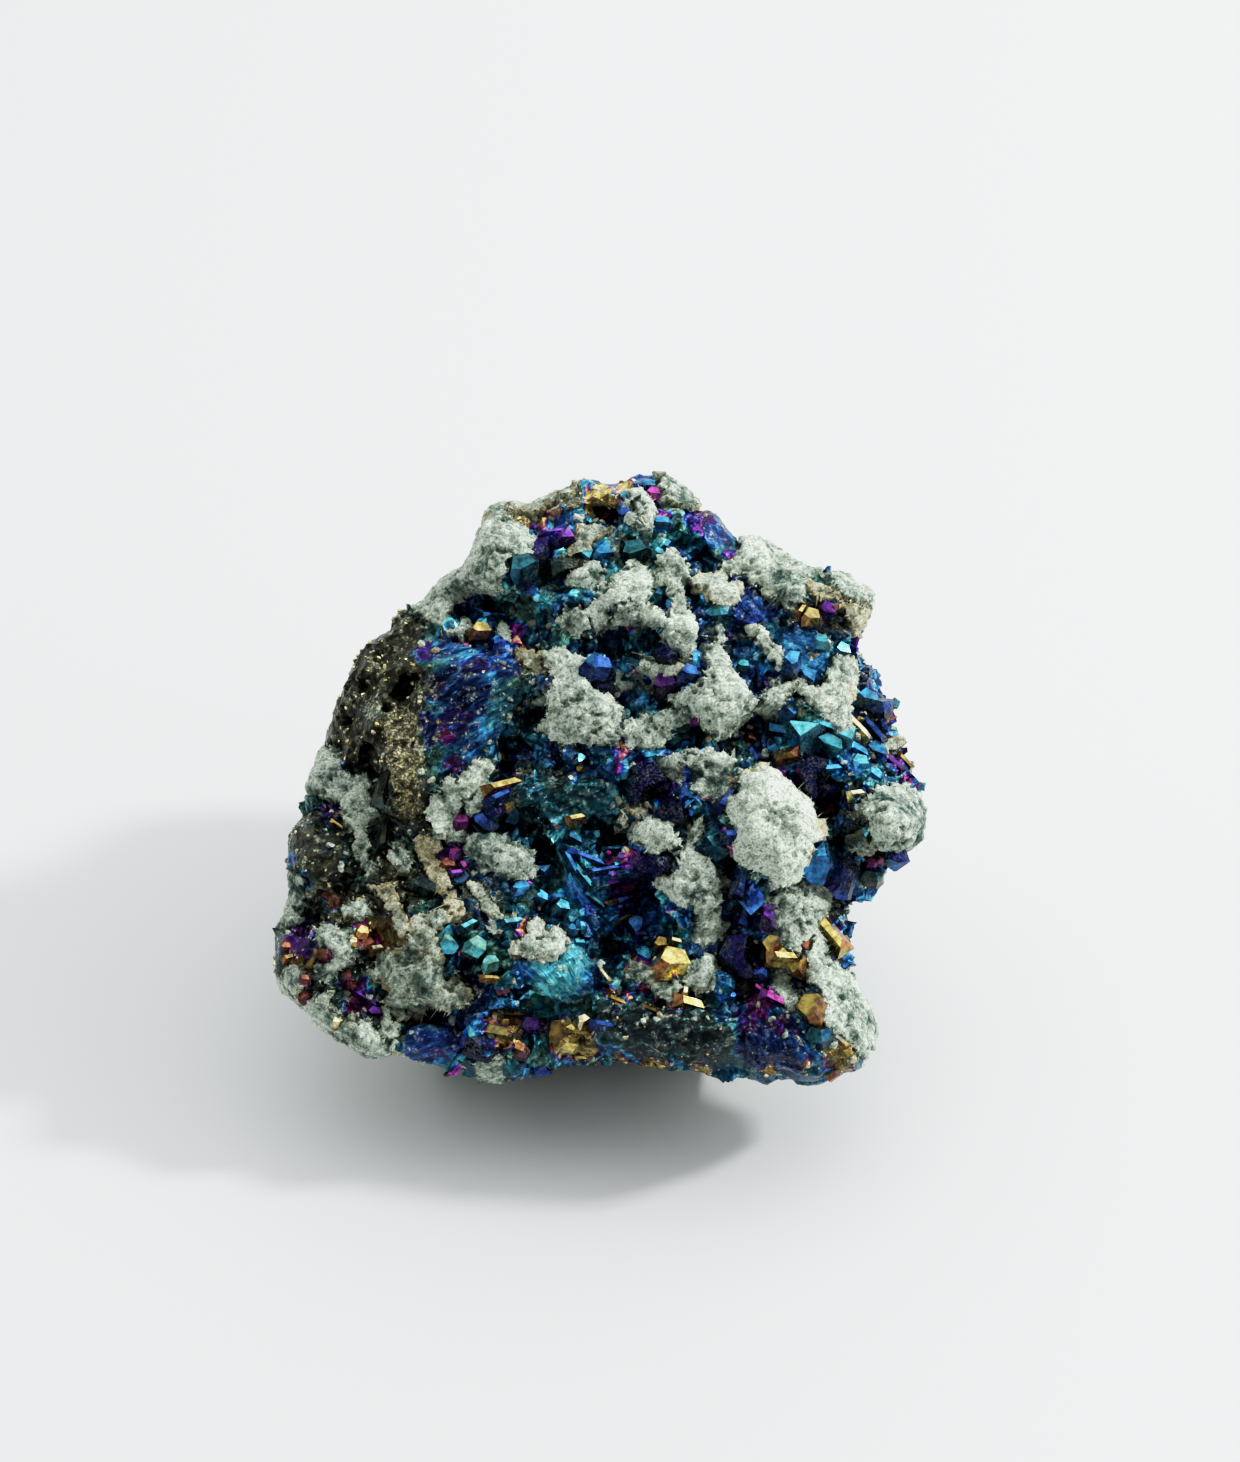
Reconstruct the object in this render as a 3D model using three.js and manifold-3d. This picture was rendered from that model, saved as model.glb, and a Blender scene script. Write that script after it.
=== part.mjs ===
// A hand-sized lump of peacock ore: tarnished chalcopyrite under a patchy grey crust, with open
// vugs between the crust plates and iridescent crystals with flat faces standing in them.
// It is one piece, as it grew, so it is one solid. Millimetres, +Z up, standing on its flat foot.
//
// The lump is laid out in the frame of its broken face, which leans back from upright:
// u runs across the face, v runs up it, and w stands out of it. Its outline, vugs, crust plates
// and crystals are all placed in that frame. The back is a rough broken rind with cleaved flats.
import * as THREE from "three";
import { mergeVertices } from "three/addons/utils/BufferGeometryUtils.js";
import { ImprovedNoise } from "three/addons/math/ImprovedNoise.js";
import Module from "manifold-3d";

// ---- driving dimensions ----
const FACE_LEAN = 40; // degrees that the face leans back from upright
const MIDDLE_HEIGHT = 24; // from the foot's plane up to the middle of the lump
const MIDDLE_SHIFT = { x: -0.05, y: 0.36 }; // sets the footprint's box over the origin
const FACE_DOME = 10.5; // how far the middle of the face stands out of the rim
const BACK_DEPTH = 24; // how far the back reaches behind the rim
const RIM_SLANT = -0.21; // the rim falls back by this share of v, so the top leans away
const FACE_ROUNDING = 0.72; // below 1 the face is flat with steep sides
const BACK_ROUNDING = 0.8;
const CRUST_RISE = 1.1; // thickness of the grey crust plates
const FACE_GRAIN = { size: 3.4, rise: 0.6, tilt: 0.36 }; // broken grains of the face
const BACK_GRAIN = { size: 8.5, rise: 1, tilt: 0.3 }; // broken lumps of the back
const BACK_SWELL = 2.4; // height of the back's broad hollows and swells
const BACK_BUMPS = 1.3;
const FOOT = { x: 1, y: -3.5, inner: 7, outer: 12.5, wear: 0.2 }; // the even spot it stands on
const BACK_TAPER = 0.1; // share by which the back draws in towards its middle
const ROUGHNESS = 0.7; // height of the lump's general unevenness
const MESH_SPLITS = 16; // divisions of each edge of the starting icosahedron
const FACE_CROWDING = 0.5; // radians by which the mesh is drawn towards the face

// The lump's outline seen square to the face, [u, v], once round from the right-hand knob.
const OUTLINE = [
  [31.7, -4.4], [31.1, -1.6], [30.8, 0.6], [29.5, 3.7], [28.6, 6.1], [27.8, 8.5], [26.9, 11.2],
  [25.3, 13], [25.2, 14.2], [26.3, 15.5], [27.6, 17.2], [26.2, 18.7], [24.1, 19.8], [22.6, 20.5],
  [20.1, 21], [18.1, 22], [16.7, 23.7], [14.9, 24.1], [13.6, 23.6], [12.2, 24.8], [11.4, 26.4],
  [10.2, 26.3], [9.5, 27.9], [7.3, 29.6], [4.5, 30.3], [1.9, 29.8], [0.4, 29.5], [-1.3, 30.2],
  [-3.8, 28.7], [-5.5, 27.5], [-6.5, 26.8], [-8.5, 27.3], [-10.1, 27.5], [-11.3, 26.3],
  [-11.7, 24.4], [-12.8, 22], [-13.5, 20.7], [-15.9, 19.3], [-17.1, 17.3], [-19.5, 16.6],
  [-20.5, 15.3], [-22.3, 13.4], [-24.1, 12.6], [-24.8, 10], [-26, 6.8], [-26.9, 3], [-27.9, 0.2],
  [-28.5, -1.6], [-28.5, -3], [-30, -4.7], [-30.1, -7.6], [-29.6, -11.6], [-30.7, -13.8],
  [-31.9, -17.1], [-31, -19], [-28.8, -21.7], [-26, -23.8], [-23.4, -26], [-21, -26.5],
  [-18.7, -25.9], [-15.1, -26.9], [-11.5, -28.3], [-6.3, -28.4], [-4, -26.6], [-0.6, -26.5],
  [3.5, -26.9], [8.9, -27.6], [12.7, -28.3], [15.1, -29], [18.1, -28.6], [20.7, -29.1],
  [23.7, -28.3], [25.7, -26.7], [27.2, -24.9], [26.3, -23.2], [24.2, -20.2], [23.8, -18.7],
  [24.2, -16.1], [24, -12.9], [24.4, -10.8], [26.3, -11.1], [28.2, -8.9], [28.8, -7.4],
  [30.8, -6.6],
];

// Broad forms of the face: [u, v, half length, half width, turn in degrees, rise].
const FORMS = [
  [-15.5, 6, 11, 9, -20, 2.2], // left slab, a flat bronze face that falls away to the left
  [-23.5, -4, 4.2, 8, 8, -2.4], // gully between the slab and the left knobs
  [-27.3, -7.2, 3.6, 4.2, 0, 2.4], // left knob
  [-28.2, -17.4, 4, 4, 0, 2], // lower left knob
  [-23, -24, 4.6, 3, -20, 1.8],
  [6.5, -24, 11.5, 3.4, -4, 4.2], // bottom ledge
  [19.6, -25, 6.6, 4, -8, 3.6], // bottom right lobe
  [-16.6, -25, 3.8, 2.6, -15, 2.4], // smooth blue boss
  [-9.8, -24.6, 3.4, 2.6, -20, 1.8],
  [16.4, -4, 5.4, 6.4, 18, 3.8], // large grey boulder
  [28.6, -4, 4, 3.2, -8, 3.4], // right-hand knob
  [22.6, 17.6, 6.4, 3.2, -26, 2.2], // upper right lobe
  [19.6, 12.6, 3.8, 3.2, 0, 1.8],
  [7.8, 13.9, 2.2, 2, 0, 2], // round grey knob
  [3.4, 16.2, 4.2, 1.5, -10, 1.6], // arched lip of crust
  [-10.6, 22, 4, 4.6, -20, 1.8], // upper left grey mass
  [3.8, 26.4, 2.2, 2, 0, 1.6],
  [-1.8, 7.4, 4.4, 4.6, -35, 1.8], // middle crust plateau
  [11.4, 8.4, 4.6, 4.2, 0, 1.8],
  [-4.4, -0.8, 6, 2.4, 10, 1.4], // teal hump
  [-3.6, -17.8, 4.2, 3, -30, 1.6],
  [5, -4.7, 2.4, 2, -10, 1.2],
  [8.8, -10, 2.6, 3, 0, 1.4],
];

// Vugs and clefts between the plates: [u, v, half length, half width, turn in degrees, depth].
const VUGS = [
  [-9.6, 16.2, 6.2, 1.9, -16, 3.6],
  [0.4, 25.7, 2.6, 1.4, 12, 3],
  [9.4, 22, 3.2, 1.2, -48, 2.8],
  [2.4, 13.4, 4.4, 1.5, 0, 3.4],
  [3.8, 8.9, 4, 2, -18, 3.4],
  [14.4, 4.8, 3.8, 1.9, 24, 3.8],
  [8.6, 3.9, 3.4, 0.9, -6, 2.8],
  [-7, 4.6, 3.6, 1.4, 58, 3],
  [-8, 1.8, 3, 1.4, 0, 2.8],
  [-8, -4, 2.8, 1.3, -8, 2.8],
  [-5, -8.2, 1.5, 2.8, 0, 3.2],
  [0.8, -5.2, 2.3, 2, 0, 3.8],
  [3.2, -13.4, 3.8, 5, 16, 5],
  [12.6, -16.6, 2.4, 4.2, 8, 4.2],
  [22.3, -4, 1.5, 4.2, 14, 4.4],
  [19.6, -0.4, 3, 1.8, -30, 2.6],
  [11.6, -8.2, 2.6, 1.2, -10, 3],
  [12.6, -12.4, 1.8, 1.6, 0, 2.4],
  [4.4, 0.4, 3.4, 2.2, -10, 2.2],
  [-17.6, -22, 2.8, 1, -6, 2.4],
  [18.2, -19.2, 2.6, 1, -20, 2.4],
  [-27.8, -13, 2.4, 1.1, 8, 2],
  [-22.1, 0.6, 0.9, 2.6, 6, 2],
  [-18.8, 8.5, 1.7, 1.2, -10, 1.4],
  [-5.2, 20.4, 2.8, 1.5, -40, 2.2],
  [-14.4, -7.2, 2, 2, 0, 2.2],
  [-22.6, -20.6, 3.2, 1.7, -35, 2.2],
  [-7, -21.8, 3.6, 1, -4, 2.2],
  [13.8, 11.4, 2.2, 1.6, 0, 2.2],
  [-12.4, -12.4, 1.8, 1.6, 0, 1.4],
];

// Grey crust plates, each a chain of round patches [u, v, radius].
const CRUST = [
  [[-10.8, 25.6, 1.3], [-11, 23.3, 1.7], [-9.2, 22.8, 1.7], [-7.6, 22.9, 1.1]],
  [[-11.6, 21.2, 2.1], [-10.2, 20.4, 1.3]],
  [[-13.5, 19.5, 1.4], [-15.4, 18.2, 1.5], [-16, 17, 0.9]],
  [[-3.2, 21.8, 0.7], [-1.6, 23.3, 1], [0.2, 24.3, 0.7]],
  [[-1.4, 19.3, 1.2], [0.6, 17.9, 1.4], [2.8, 18.6, 1.6], [3.8, 19.9, 1.2]],
  [[6.4, 21.8, 0.9], [6.8, 20.3, 1.7], [7.4, 18.4, 1.1], [7.8, 16.6, 0.9]],
  [[-0.8, 16.8, 0.7], [1.4, 17.2, 0.6], [3.6, 16.9, 0.6], [6.4, 15.2, 0.8], [7.8, 13.9, 1.9]],
  [[-2.3, 15.7, 1.4], [-2, 14.4, 0.7]],
  [[-4, 11.5, 1.6], [-3.3, 9.5, 1.9], [-2.4, 7.2, 2.5], [-0.2, 5.8, 2.3], [-3.2, 5, 1.5]],
  [[0.9, 4.9, 1.4], [3.4, 4.7, 1], [5.3, 4.3, 0.9]],
  [[5.3, 6.2, 0.6], [7.4, 6.7, 0.9], [9.2, 8.2, 1.7], [11.2, 8, 2.3], [13.2, 7.6, 1.6]],
  [[10.8, 12.2, 1.4], [12, 10, 1.5], [11.6, 5.6, 1.5], [12, 4.4, 0.8]],
  [[3.8, 11.1, 0.7], [5.4, 10.2, 0.9], [6.8, 10.6, 0.8], [9, 11.4, 0.8]],
  [[18, 9.4, 0.6], [16.4, 8.9, 1], [16.4, 6.8, 0.7]],
  [[15.5, 14, 0.7], [16.4, 12.9, 0.9], [17.1, 11.9, 0.7]],
  [[19.8, 9, 0.8], [21.4, 7.9, 1], [23.1, 6, 1.3], [24, 4.8, 0.9]],
  [[23, 10, 1.9], [24, 8.8, 1.5]],
  [[13.6, 21, 1.2], [15.6, 21.9, 1.6], [17.6, 19.6, 1.6], [19.6, 18, 1.2]],
  [[20, 20, 1.2], [22.4, 19.4, 1.1], [26, 17.7, 1.4]],
  [[9.5, 18.8, 1.2], [11.2, 18.8, 1.4], [12.6, 18.1, 1]],
  [[8.2, 1.9, 0.9], [11, 1.9, 1.4], [12.6, 1.7, 0.9], [10.4, 0, 1.4], [11.6, -2.2, 1.2]],
  [[6.5, 1.7, 1.1]],
  [[15.4, -1.8, 3.2], [16.6, -4.2, 4.4], [17, -6.6, 3]],
  [[4.9, -4.6, 1.7], [7, -5.6, 0.7]],
  [[3.6, -2.4, 0.8], [2.3, -3.9, 0.6]],
  [[9.8, -4, 0.8], [9, -7, 1], [7.9, -8.9, 1.5], [9.9, -9.2, 1.6], [10.6, -13, 1], [10, -15, 0.8]],
  [[17.4, -11, 1.8], [19.7, -11, 1.6], [18.6, -13.4, 1.6], [18, -15.3, 0.8]],
  [[20.6, -15.6, 0.8], [21.4, -18, 1.5], [23.4, -21, 1.7], [25.6, -24, 1.7]],
  [[17.3, -19, 0.9], [18, -20.3, 0.9]],
  [[3.6, -18.3, 0.9], [5.2, -18.8, 1.1], [6.8, -19.2, 1], [9.6, -17.8, 1.5], [11, -18.7, 1]],
  [[26.2, -2.6, 1.3], [28, -3, 2.3], [29.8, -4.2, 2.1], [28, -5.6, 1.6]],
  [[-15.4, -3.2, 1.4], [-14.6, -1.8, 1.1], [-12.6, -0.2, 1], [-11.3, -2, 0.9]],
  [[-13, -5.3, 0.7], [-11.4, -6.4, 1.3], [-9.4, -6.7, 1.9], [-7.6, -8, 1.6]],
  [[-8, -16.2, 0.9], [-5.6, -15.7, 1.3], [-4, -15.3, 0.9]],
  [[-17, -13.2, 1.1], [-16.2, -14.8, 1.1], [-17.8, -18, 2], [-16.6, -20.2, 1.5], [-13.8, -20.4, 1.1]],
  [[-25.6, -14.4, 1.4], [-24.5, -16.4, 1.2]],
  [[-29.5, -19, 1.5], [-27.4, -22, 1.7], [-25.4, -21.2, 1.1], [-23.6, -25.2, 1.7], [-21, -25.3, 1]],
  [[-29.2, -10, 0.9], [-29.3, -12.8, 0.8]],
  [[-27, -0.2, 1.3], [-25, -0.4, 1.4], [-23.7, -2.4, 1.2], [-22.7, -6.4, 0.7]],
  [[3.8, 26.6, 1.4], [4, 25.4, 1]],
  [[-10.5, -27.2, 1.2]],
];

// Crystals that stand clear of the ore: [habit, u, v, length, width, turn, lean, sunk share].
// turn is the long axis's direction on the face and lean is how far it tips out of it, in degrees.
const CRYSTALS = [
  ["block", -0.2, 10.4, 2.9, 2.3, 5, 20, 0.3], ["block", 2.3, 10, 1.7, 1.3, -20, 10, 0.3],
  ["block", 6.6, 9, 2.1, 1.9, 30, 15, 0.3], ["block", 8.6, 10.2, 1.6, 1.4, 0, 25, 0.3],
  ["block", 6.4, 12.1, 2, 1.6, 40, 10, 0.3], ["wedge", 2.9, 12.5, 1.6, 1.2, 0, 20, 0.3],
  ["wedge", -3.6, 23.3, 3.4, 1.8, 58, 25, 0.3], ["block", -5.8, 22, 2.6, 2.2, 80, 20, 0.3],
  ["block", -7.3, 20.6, 2.8, 2.2, 20, 10, 0.35], ["wedge", -3, 20.9, 2.6, 2, -20, 20, 0.3],
  ["blade", -11.8, 17.2, 2, 0.9, -30, 20, 0.3], ["blade", -10.2, 16.1, 2.4, 0.9, 8, 15, 0.3],
  ["block", -11.5, 14.3, 1.9, 1.5, 10, 20, 0.3], ["wedge", 19.2, 4.2, 3.8, 2.8, -12, 30, 0.25],
  ["block", 22.3, 3.7, 2.6, 1.8, -25, 10, 0.35], ["wedge", 22.3, 1.2, 2, 1.3, 25, 20, 0.3],
  ["block", 20.3, 1, 2.7, 2.3, 60, 20, 0.3], ["block", 21.8, -0.6, 2, 1.8, 30, 10, 0.3],
  ["wedge", 20.7, -7.5, 2.8, 2, 62, 30, 0.25], ["block", 22.6, -8.9, 2.6, 2, 80, 10, 0.35],
  ["block", 11, -6.3, 2.7, 2, -15, 15, 0.3], ["block", 12, -4.9, 2, 1.7, 20, 25, 0.3],
  ["blade", 13.4, -9.4, 2.6, 1.4, 75, 20, 0.3], ["block", 13, -11.8, 1.9, 1.5, -30, 15, 0.3],
  ["block", 13.3, -16.3, 3.6, 3, 80, 15, 0.3], ["blade", 15.8, -13, 2.4, 1.2, 80, 20, 0.3],
  ["block", 17.2, -16.4, 2.2, 1.6, 10, 20, 0.3], ["block", 18.9, -17.5, 2.2, 1.8, 70, 15, 0.3],
  ["wedge", 16.3, -15.2, 1.7, 1.3, 60, 15, 0.3], ["blade", 22, -14.6, 3.6, 1.7, -58, 20, 0.3],
  ["block", 19.9, -21.2, 2.7, 2.2, 80, 15, 0.35], ["wedge", 15.6, -20.4, 2.6, 2, -20, 20, 0.3],
  ["block", 16.2, -17.9, 2, 1.7, 40, 15, 0.3], ["block", 4, -16, 2.3, 1.9, -70, 30, 0.25],
  ["block", 6.1, -15.4, 1.4, 1.2, 20, 20, 0.3], ["wedge", 6.9, -17.2, 2.9, 1.7, -10, 20, 0.3],
  ["wedge", 8.2, -20.7, 2.2, 1.7, 75, 25, 0.3], ["blade", -9.2, -0.6, 3, 1.3, 20, 20, 0.3],
  ["block", -9.7, -2.1, 1.9, 1.4, 50, 15, 0.3], ["block", -11, -4, 1.6, 1.3, -50, 20, 0.3],
  ["wedge", -2.3, -3.5, 1.8, 1.1, 20, 15, 0.3], ["blade", 3.6, -7.7, 5, 1.6, 6, 10, 0.35],
  ["blade", 1.4, -9.8, 4.2, 1.1, 16, 10, 0.35], ["blade", 2.2, -11.6, 4.6, 1.2, 18, 8, 0.35],
  ["blade", 1.6, -13.4, 3.8, 1, 22, 6, 0.35], ["block", -14.2, -6.4, 1.8, 1.4, 60, 20, 0.3],
  ["block", -13.9, -7.9, 1.6, 1.3, -20, 15, 0.3], ["blade", -22.9, -20.3, 3.4, 1.5, -35, 15, 0.35],
  ["block", -21.6, -22.2, 1.5, 1.2, 70, 15, 0.3], ["wedge", -14.2, -15.2, 2.1, 1.6, -60, 20, 0.3],
  ["blade", -8.7, -20.9, 2.2, 1.2, -12, 15, 0.3], ["blade", 8.3, -2.5, 3, 1.5, 60, 15, 0.35],
  ["block", 4.4, -0.2, 3.2, 2.8, 20, 10, 0.35], ["block", 6.6, -3.6, 2.6, 2, 10, 10, 0.4],
  ["blade", 1.7, 1.3, 2, 0.8, -50, 20, 0.3], ["wedge", 3.5, 1.6, 1.8, 1, 70, 25, 0.3],
  ["blade", 24.9, 5.4, 3.4, 1.1, -58, 15, 0.3], ["blade", 26.2, 5, 3.2, 1.3, -58, 10, 0.35],
  ["block", 26, 7.9, 2.4, 1.8, -10, 15, 0.35], ["block", 20.2, 15.8, 2, 1.7, 20, 20, 0.3],
  ["block", 21.3, 13.3, 1.7, 1.6, 0, 20, 0.35], ["block", 28.7, 1.9, 2.2, 1.6, -50, 15, 0.35],
  ["wedge", 29.3, -0.3, 1.6, 1.2, 0, 15, 0.3], ["wedge", 6, 24.6, 2.2, 1.5, -10, 20, 0.35],
  ["block", 0.4, -22.8, 1.8, 1.3, -5, 15, 0.3], ["block", 17.9, 2.4, 2.4, 1.7, 15, 15, 0.35],
  ["block", 14.1, 11, 1.4, 1.2, 0, 25, 0.3], ["block", 11.3, 16, 1.8, 1.4, 20, 15, 0.3],
  ["block", -22.3, -14.6, 1.8, 1.4, 30, 20, 0.3], ["block", 24.4, -1.1, 1.6, 1.2, 20, 20, 0.3],
];

// Cleaved flats of the back: [x, y, z of the outward direction, distance from the middle].
const CLEAVED_FLATS = [
  [0.15, 0.9, 0.42, 24.5],
  [-0.72, 0.66, 0.1, 24],
  [0.74, 0.6, -0.12, 24.5],
  [0.05, 0.8, -0.6, 22.5],
  [-0.75, 0.1, -0.65, 25.5],
  [0.8, -0.05, -0.6, 25],
  [-0.3, 0.72, 0.62, 24.5],
  [0.3, 0.35, 0.9, 23.5],
  [-0.1, 0.3, 0.95, 22.5],
];

// ---- helpers ----
const noise = new ImprovedNoise();
const radians = THREE.MathUtils.degToRad;
const smooth = THREE.MathUtils.smoothstep;
const lean = radians(FACE_LEAN);
const ACROSS = new THREE.Vector3(1, 0, 0);
const UP_FACE = new THREE.Vector3(0, Math.sin(lean), Math.cos(lean));
const OUT_OF_FACE = new THREE.Vector3(0, -Math.cos(lean), Math.sin(lean));
const MIDDLE = new THREE.Vector3(MIDDLE_SHIFT.x, MIDDLE_SHIFT.y, MIDDLE_HEIGHT);

/** A point given in the face's frame, from the middle of the lump. */
function fromFace(u, v, w) {
  return new THREE.Vector3()
    .addScaledVector(ACROSS, u)
    .addScaledVector(UP_FACE, v)
    .addScaledVector(OUT_OF_FACE, w);
}

/** A repeatable number from 0 to 1 for a whole-number cell. */
function chance(i, j, k) {
  const s = Math.sin(i * 127.1 + j * 311.7 + k * 74.7) * 43758.5453;
  return s - Math.floor(s);
}

const outlineByAngle = OUTLINE.map(([u, v]) => [Math.atan2(v, u), Math.hypot(u, v)]);
outlineByAngle.sort((a, b) => a[0] - b[0]);

/** The outline's reach from the middle in one direction across the face. */
function reach(angle) {
  const n = outlineByAngle.length;
  const next = outlineByAngle.findIndex(([a]) => a > angle);
  const j = next < 0 ? 0 : next;
  const [a1, r1] = outlineByAngle[j];
  const [a0, r0] = outlineByAngle[(j + n - 1) % n];
  const turn = 2 * Math.PI;
  const span = (a1 - a0 + turn) % turn;
  const share = ((angle - a0 + turn) % turn) / span;
  return r0 + (r1 - r0) * share;
}

/** How far a point is from the centre of an oval, where 1 is its edge. */
function ovalDistance(u, v, [cu, cv, halfLength, halfWidth, turn]) {
  const t = radians(turn);
  const du = u - cu;
  const dv = v - cv;
  const along = (du * Math.cos(t) + dv * Math.sin(t)) / halfLength;
  const aside = (dv * Math.cos(t) - du * Math.sin(t)) / halfWidth;
  return Math.hypot(along, aside);
}

/** How far inside the nearest crust plate a point is, in millimetres; negative is outside. */
function insideCrust(u, v) {
  let best = -Infinity;
  for (const chain of CRUST) {
    chain.forEach(([au, av, ar], i) => {
      const [bu, bv, br] = chain[Math.max(i - 1, 0)];
      const length2 = (bu - au) ** 2 + (bv - av) ** 2;
      const along = length2 ? ((u - au) * (bu - au) + (v - av) * (bv - av)) / length2 : 0;
      const t = THREE.MathUtils.clamp(along, 0, 1);
      const gap = Math.hypot(u - au - t * (bu - au), v - av - t * (bv - av));
      best = Math.max(best, ar + (br - ar) * t - gap);
    });
  }
  return best;
}

/** Height of broken grains: each cell of the ore is a small flat, tipped its own way. */
function grains(x, y, z, { size, rise, tilt }) {
  const [ci, cj, ck] = [x, y, z].map((value) => Math.floor(value / size));
  let nearest = Infinity;
  let height = 0;
  for (let i = ci - 1; i <= ci + 1; i++) {
    for (let j = cj - 1; j <= cj + 1; j++) {
      for (let k = ck - 1; k <= ck + 1; k++) {
        const dx = x - (i + chance(i, j, k)) * size;
        const dy = y - (j + chance(j, k, i + 50)) * size;
        const dz = z - (k + chance(k, i, j + 90)) * size;
        const gap = dx * dx + dy * dy + dz * dz;
        if (gap < nearest) {
          nearest = gap;
          const slopes = [dx, dy, dz].map((d, axis) => d * (2 * chance(i + axis, j, k + 7) - 1));
          height = rise * (2 * chance(i, k, j + 3) - 1) + tilt * (slopes[0] + slopes[1] + slopes[2]);
        }
      }
    }
  }
  return height;
}

/** What the face's own features add to its dome at one point. */
function relief(u, v) {
  let w = ROUGHNESS * noise.noise(u / 6, v / 6, 3.7);
  for (const form of FORMS) w += form[5] * (1 - smooth(ovalDistance(u, v, form), 0.35, 1.15));
  let inVug = 0;
  for (const vug of VUGS) {
    const share = 1 - smooth(ovalDistance(u, v, vug), 0.5, 1.15);
    inVug = Math.max(inVug, share);
    w -= vug[5] * share;
  }
  const covered = smooth(insideCrust(u, v), -0.4, 0.35);
  w += CRUST_RISE * covered * (1 - 0.5 * inVug);
  w += grains(u, v, 0, FACE_GRAIN) * (1 - 0.65 * covered);
  return w;
}

/** Height of the face over the rim's plane, for a point inside the outline. */
function faceHeight(u, v) {
  const share = Math.min(Math.hypot(u, v) / reach(Math.atan2(v, u)), 1);
  const dome = Math.sqrt(1 - share ** (2 / FACE_ROUNDING)) ** FACE_ROUNDING;
  return RIM_SLANT * v + FACE_DOME * dome + relief(u, v) * smooth(dome, 0, 0.45);
}

/** The back's depth behind the rim's plane, and its roughness as a share of the reach. */
function backPoint(angle, sine, cosine) {
  const r = reach(angle) * sine ** BACK_ROUNDING * (1 - BACK_TAPER * cosine);
  const u = r * Math.cos(angle);
  const v = r * Math.sin(angle);
  return fromFace(u, v, RIM_SLANT * v - BACK_DEPTH * cosine ** BACK_ROUNDING);
}

/** Cuts a point back to the cleaved flats, along the line from the middle. */
function cleave(p) {
  for (const [x, y, z, distance] of CLEAVED_FLATS) {
    const out = p.dot(new THREE.Vector3(x, y, z).normalize());
    if (out > distance) p.multiplyScalar(distance / out);
  }
}

/** The lump without its crystals: an icosahedral mesh pushed out to the face, rim and back. */
function lumpGeometry() {
  const g = new THREE.IcosahedronGeometry(1, MESH_SPLITS);
  g.deleteAttribute("normal");
  g.deleteAttribute("uv");
  const mesh = mergeVertices(g, 1e-5);
  const at = mesh.attributes.position;
  const d = new THREE.Vector3();
  for (let i = 0; i < at.count; i++) {
    d.fromBufferAttribute(at, i).normalize();
    const angle = Math.atan2(d.y, d.x);
    const fromPole = Math.acos(THREE.MathUtils.clamp(d.z, -1, 1));
    const polar = fromPole - FACE_CROWDING * Math.sin(fromPole);
    const sine = Math.sin(polar);
    let p;
    if (polar < Math.PI / 2) {
      const r = reach(angle) * sine ** FACE_ROUNDING;
      const u = r * Math.cos(angle);
      const v = r * Math.sin(angle);
      p = fromFace(u, v, faceHeight(u, v));
    } else {
      p = backPoint(angle, sine, -Math.cos(polar));
      cleave(p);
      const behind = smooth(-Math.cos(polar), 0, 0.3);
      const swell = BACK_SWELL * noise.noise(p.x / 12 + 5, p.y / 12, p.z / 12);
      const bumps = BACK_BUMPS * noise.noise(p.x / 4.5, p.y / 4.5 + 9, p.z / 4.5);
      const fromFoot = p.z < 0 ? Math.hypot(p.x - FOOT.x, p.y - FOOT.y) : FOOT.outer;
      const unworn = smooth(fromFoot, FOOT.inner, FOOT.outer);
      const rise = behind * unworn * (swell + bumps + grains(p.x, p.y, p.z, BACK_GRAIN));
      p.setLength(p.length() + rise);
      const worn = Math.min(p.z, -MIDDLE_HEIGHT - FOOT.wear);
      p.z = THREE.MathUtils.lerp(worn, p.z, unworn);
    }
    p.add(MIDDLE);
    at.setXYZ(i, p.x, p.y, p.z);
  }
  return mesh;
}

/** A crystal of unit size about its own middle, long axis along X, standing on -Z. */
function crystalGeometry(habit) {
  if (habit === "wedge") return new THREE.CylinderGeometry(0.12, 0.62, 1, 3).rotateX(Math.PI / 2);
  if (habit === "blade") return new THREE.CylinderGeometry(0.3, 0.5, 1, 6).rotateZ(-Math.PI / 2);
  return new THREE.CylinderGeometry(0.38, 0.62, 1, 5, 1).rotateX(Math.PI / 2);
}

/** One crystal in its place on the face, as a closed mesh. */
function placedCrystal([habit, u, v, length, width, turn, tip, sunk], index) {
  const g = crystalGeometry(habit);
  const height = habit === "blade" ? width : 0.9 * width;
  g.scale(length, width, height);
  g.rotateX(radians(40 * (chance(index, 1, 7) - 0.5)));
  g.rotateY(radians(-tip));
  g.rotateZ(radians(turn));
  g.translate(0, 0, height * (0.5 - sunk));
  const toFace = new THREE.Matrix4().makeBasis(ACROSS, UP_FACE, OUT_OF_FACE);
  g.applyMatrix4(toFace);
  const seat = fromFace(u, v, faceHeight(u, v)).add(MIDDLE);
  g.translate(seat.x, seat.y, seat.z);
  return g;
}

// ---- joins and cuts ----
const wasm = await Module();
wasm.setup();

/** A closed three.js geometry as a solid. */
function solid(geometry) {
  geometry.deleteAttribute("normal");
  geometry.deleteAttribute("uv");
  const merged = mergeVertices(geometry, 1e-4);
  return new wasm.Manifold(
    new wasm.Mesh({
      numProp: 3,
      vertProperties: new Float32Array(merged.attributes.position.array),
      triVerts: new Uint32Array(merged.index.array),
    }),
  );
}

/** A solid as a three.js geometry. */
function geometryOf(body) {
  const { vertProperties, triVerts } = body.getMesh();
  const g = new THREE.BufferGeometry();
  g.setAttribute("position", new THREE.BufferAttribute(vertProperties, 3));
  g.setIndex(new THREE.BufferAttribute(triVerts, 1));
  g.computeVertexNormals();
  return g;
}

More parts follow.
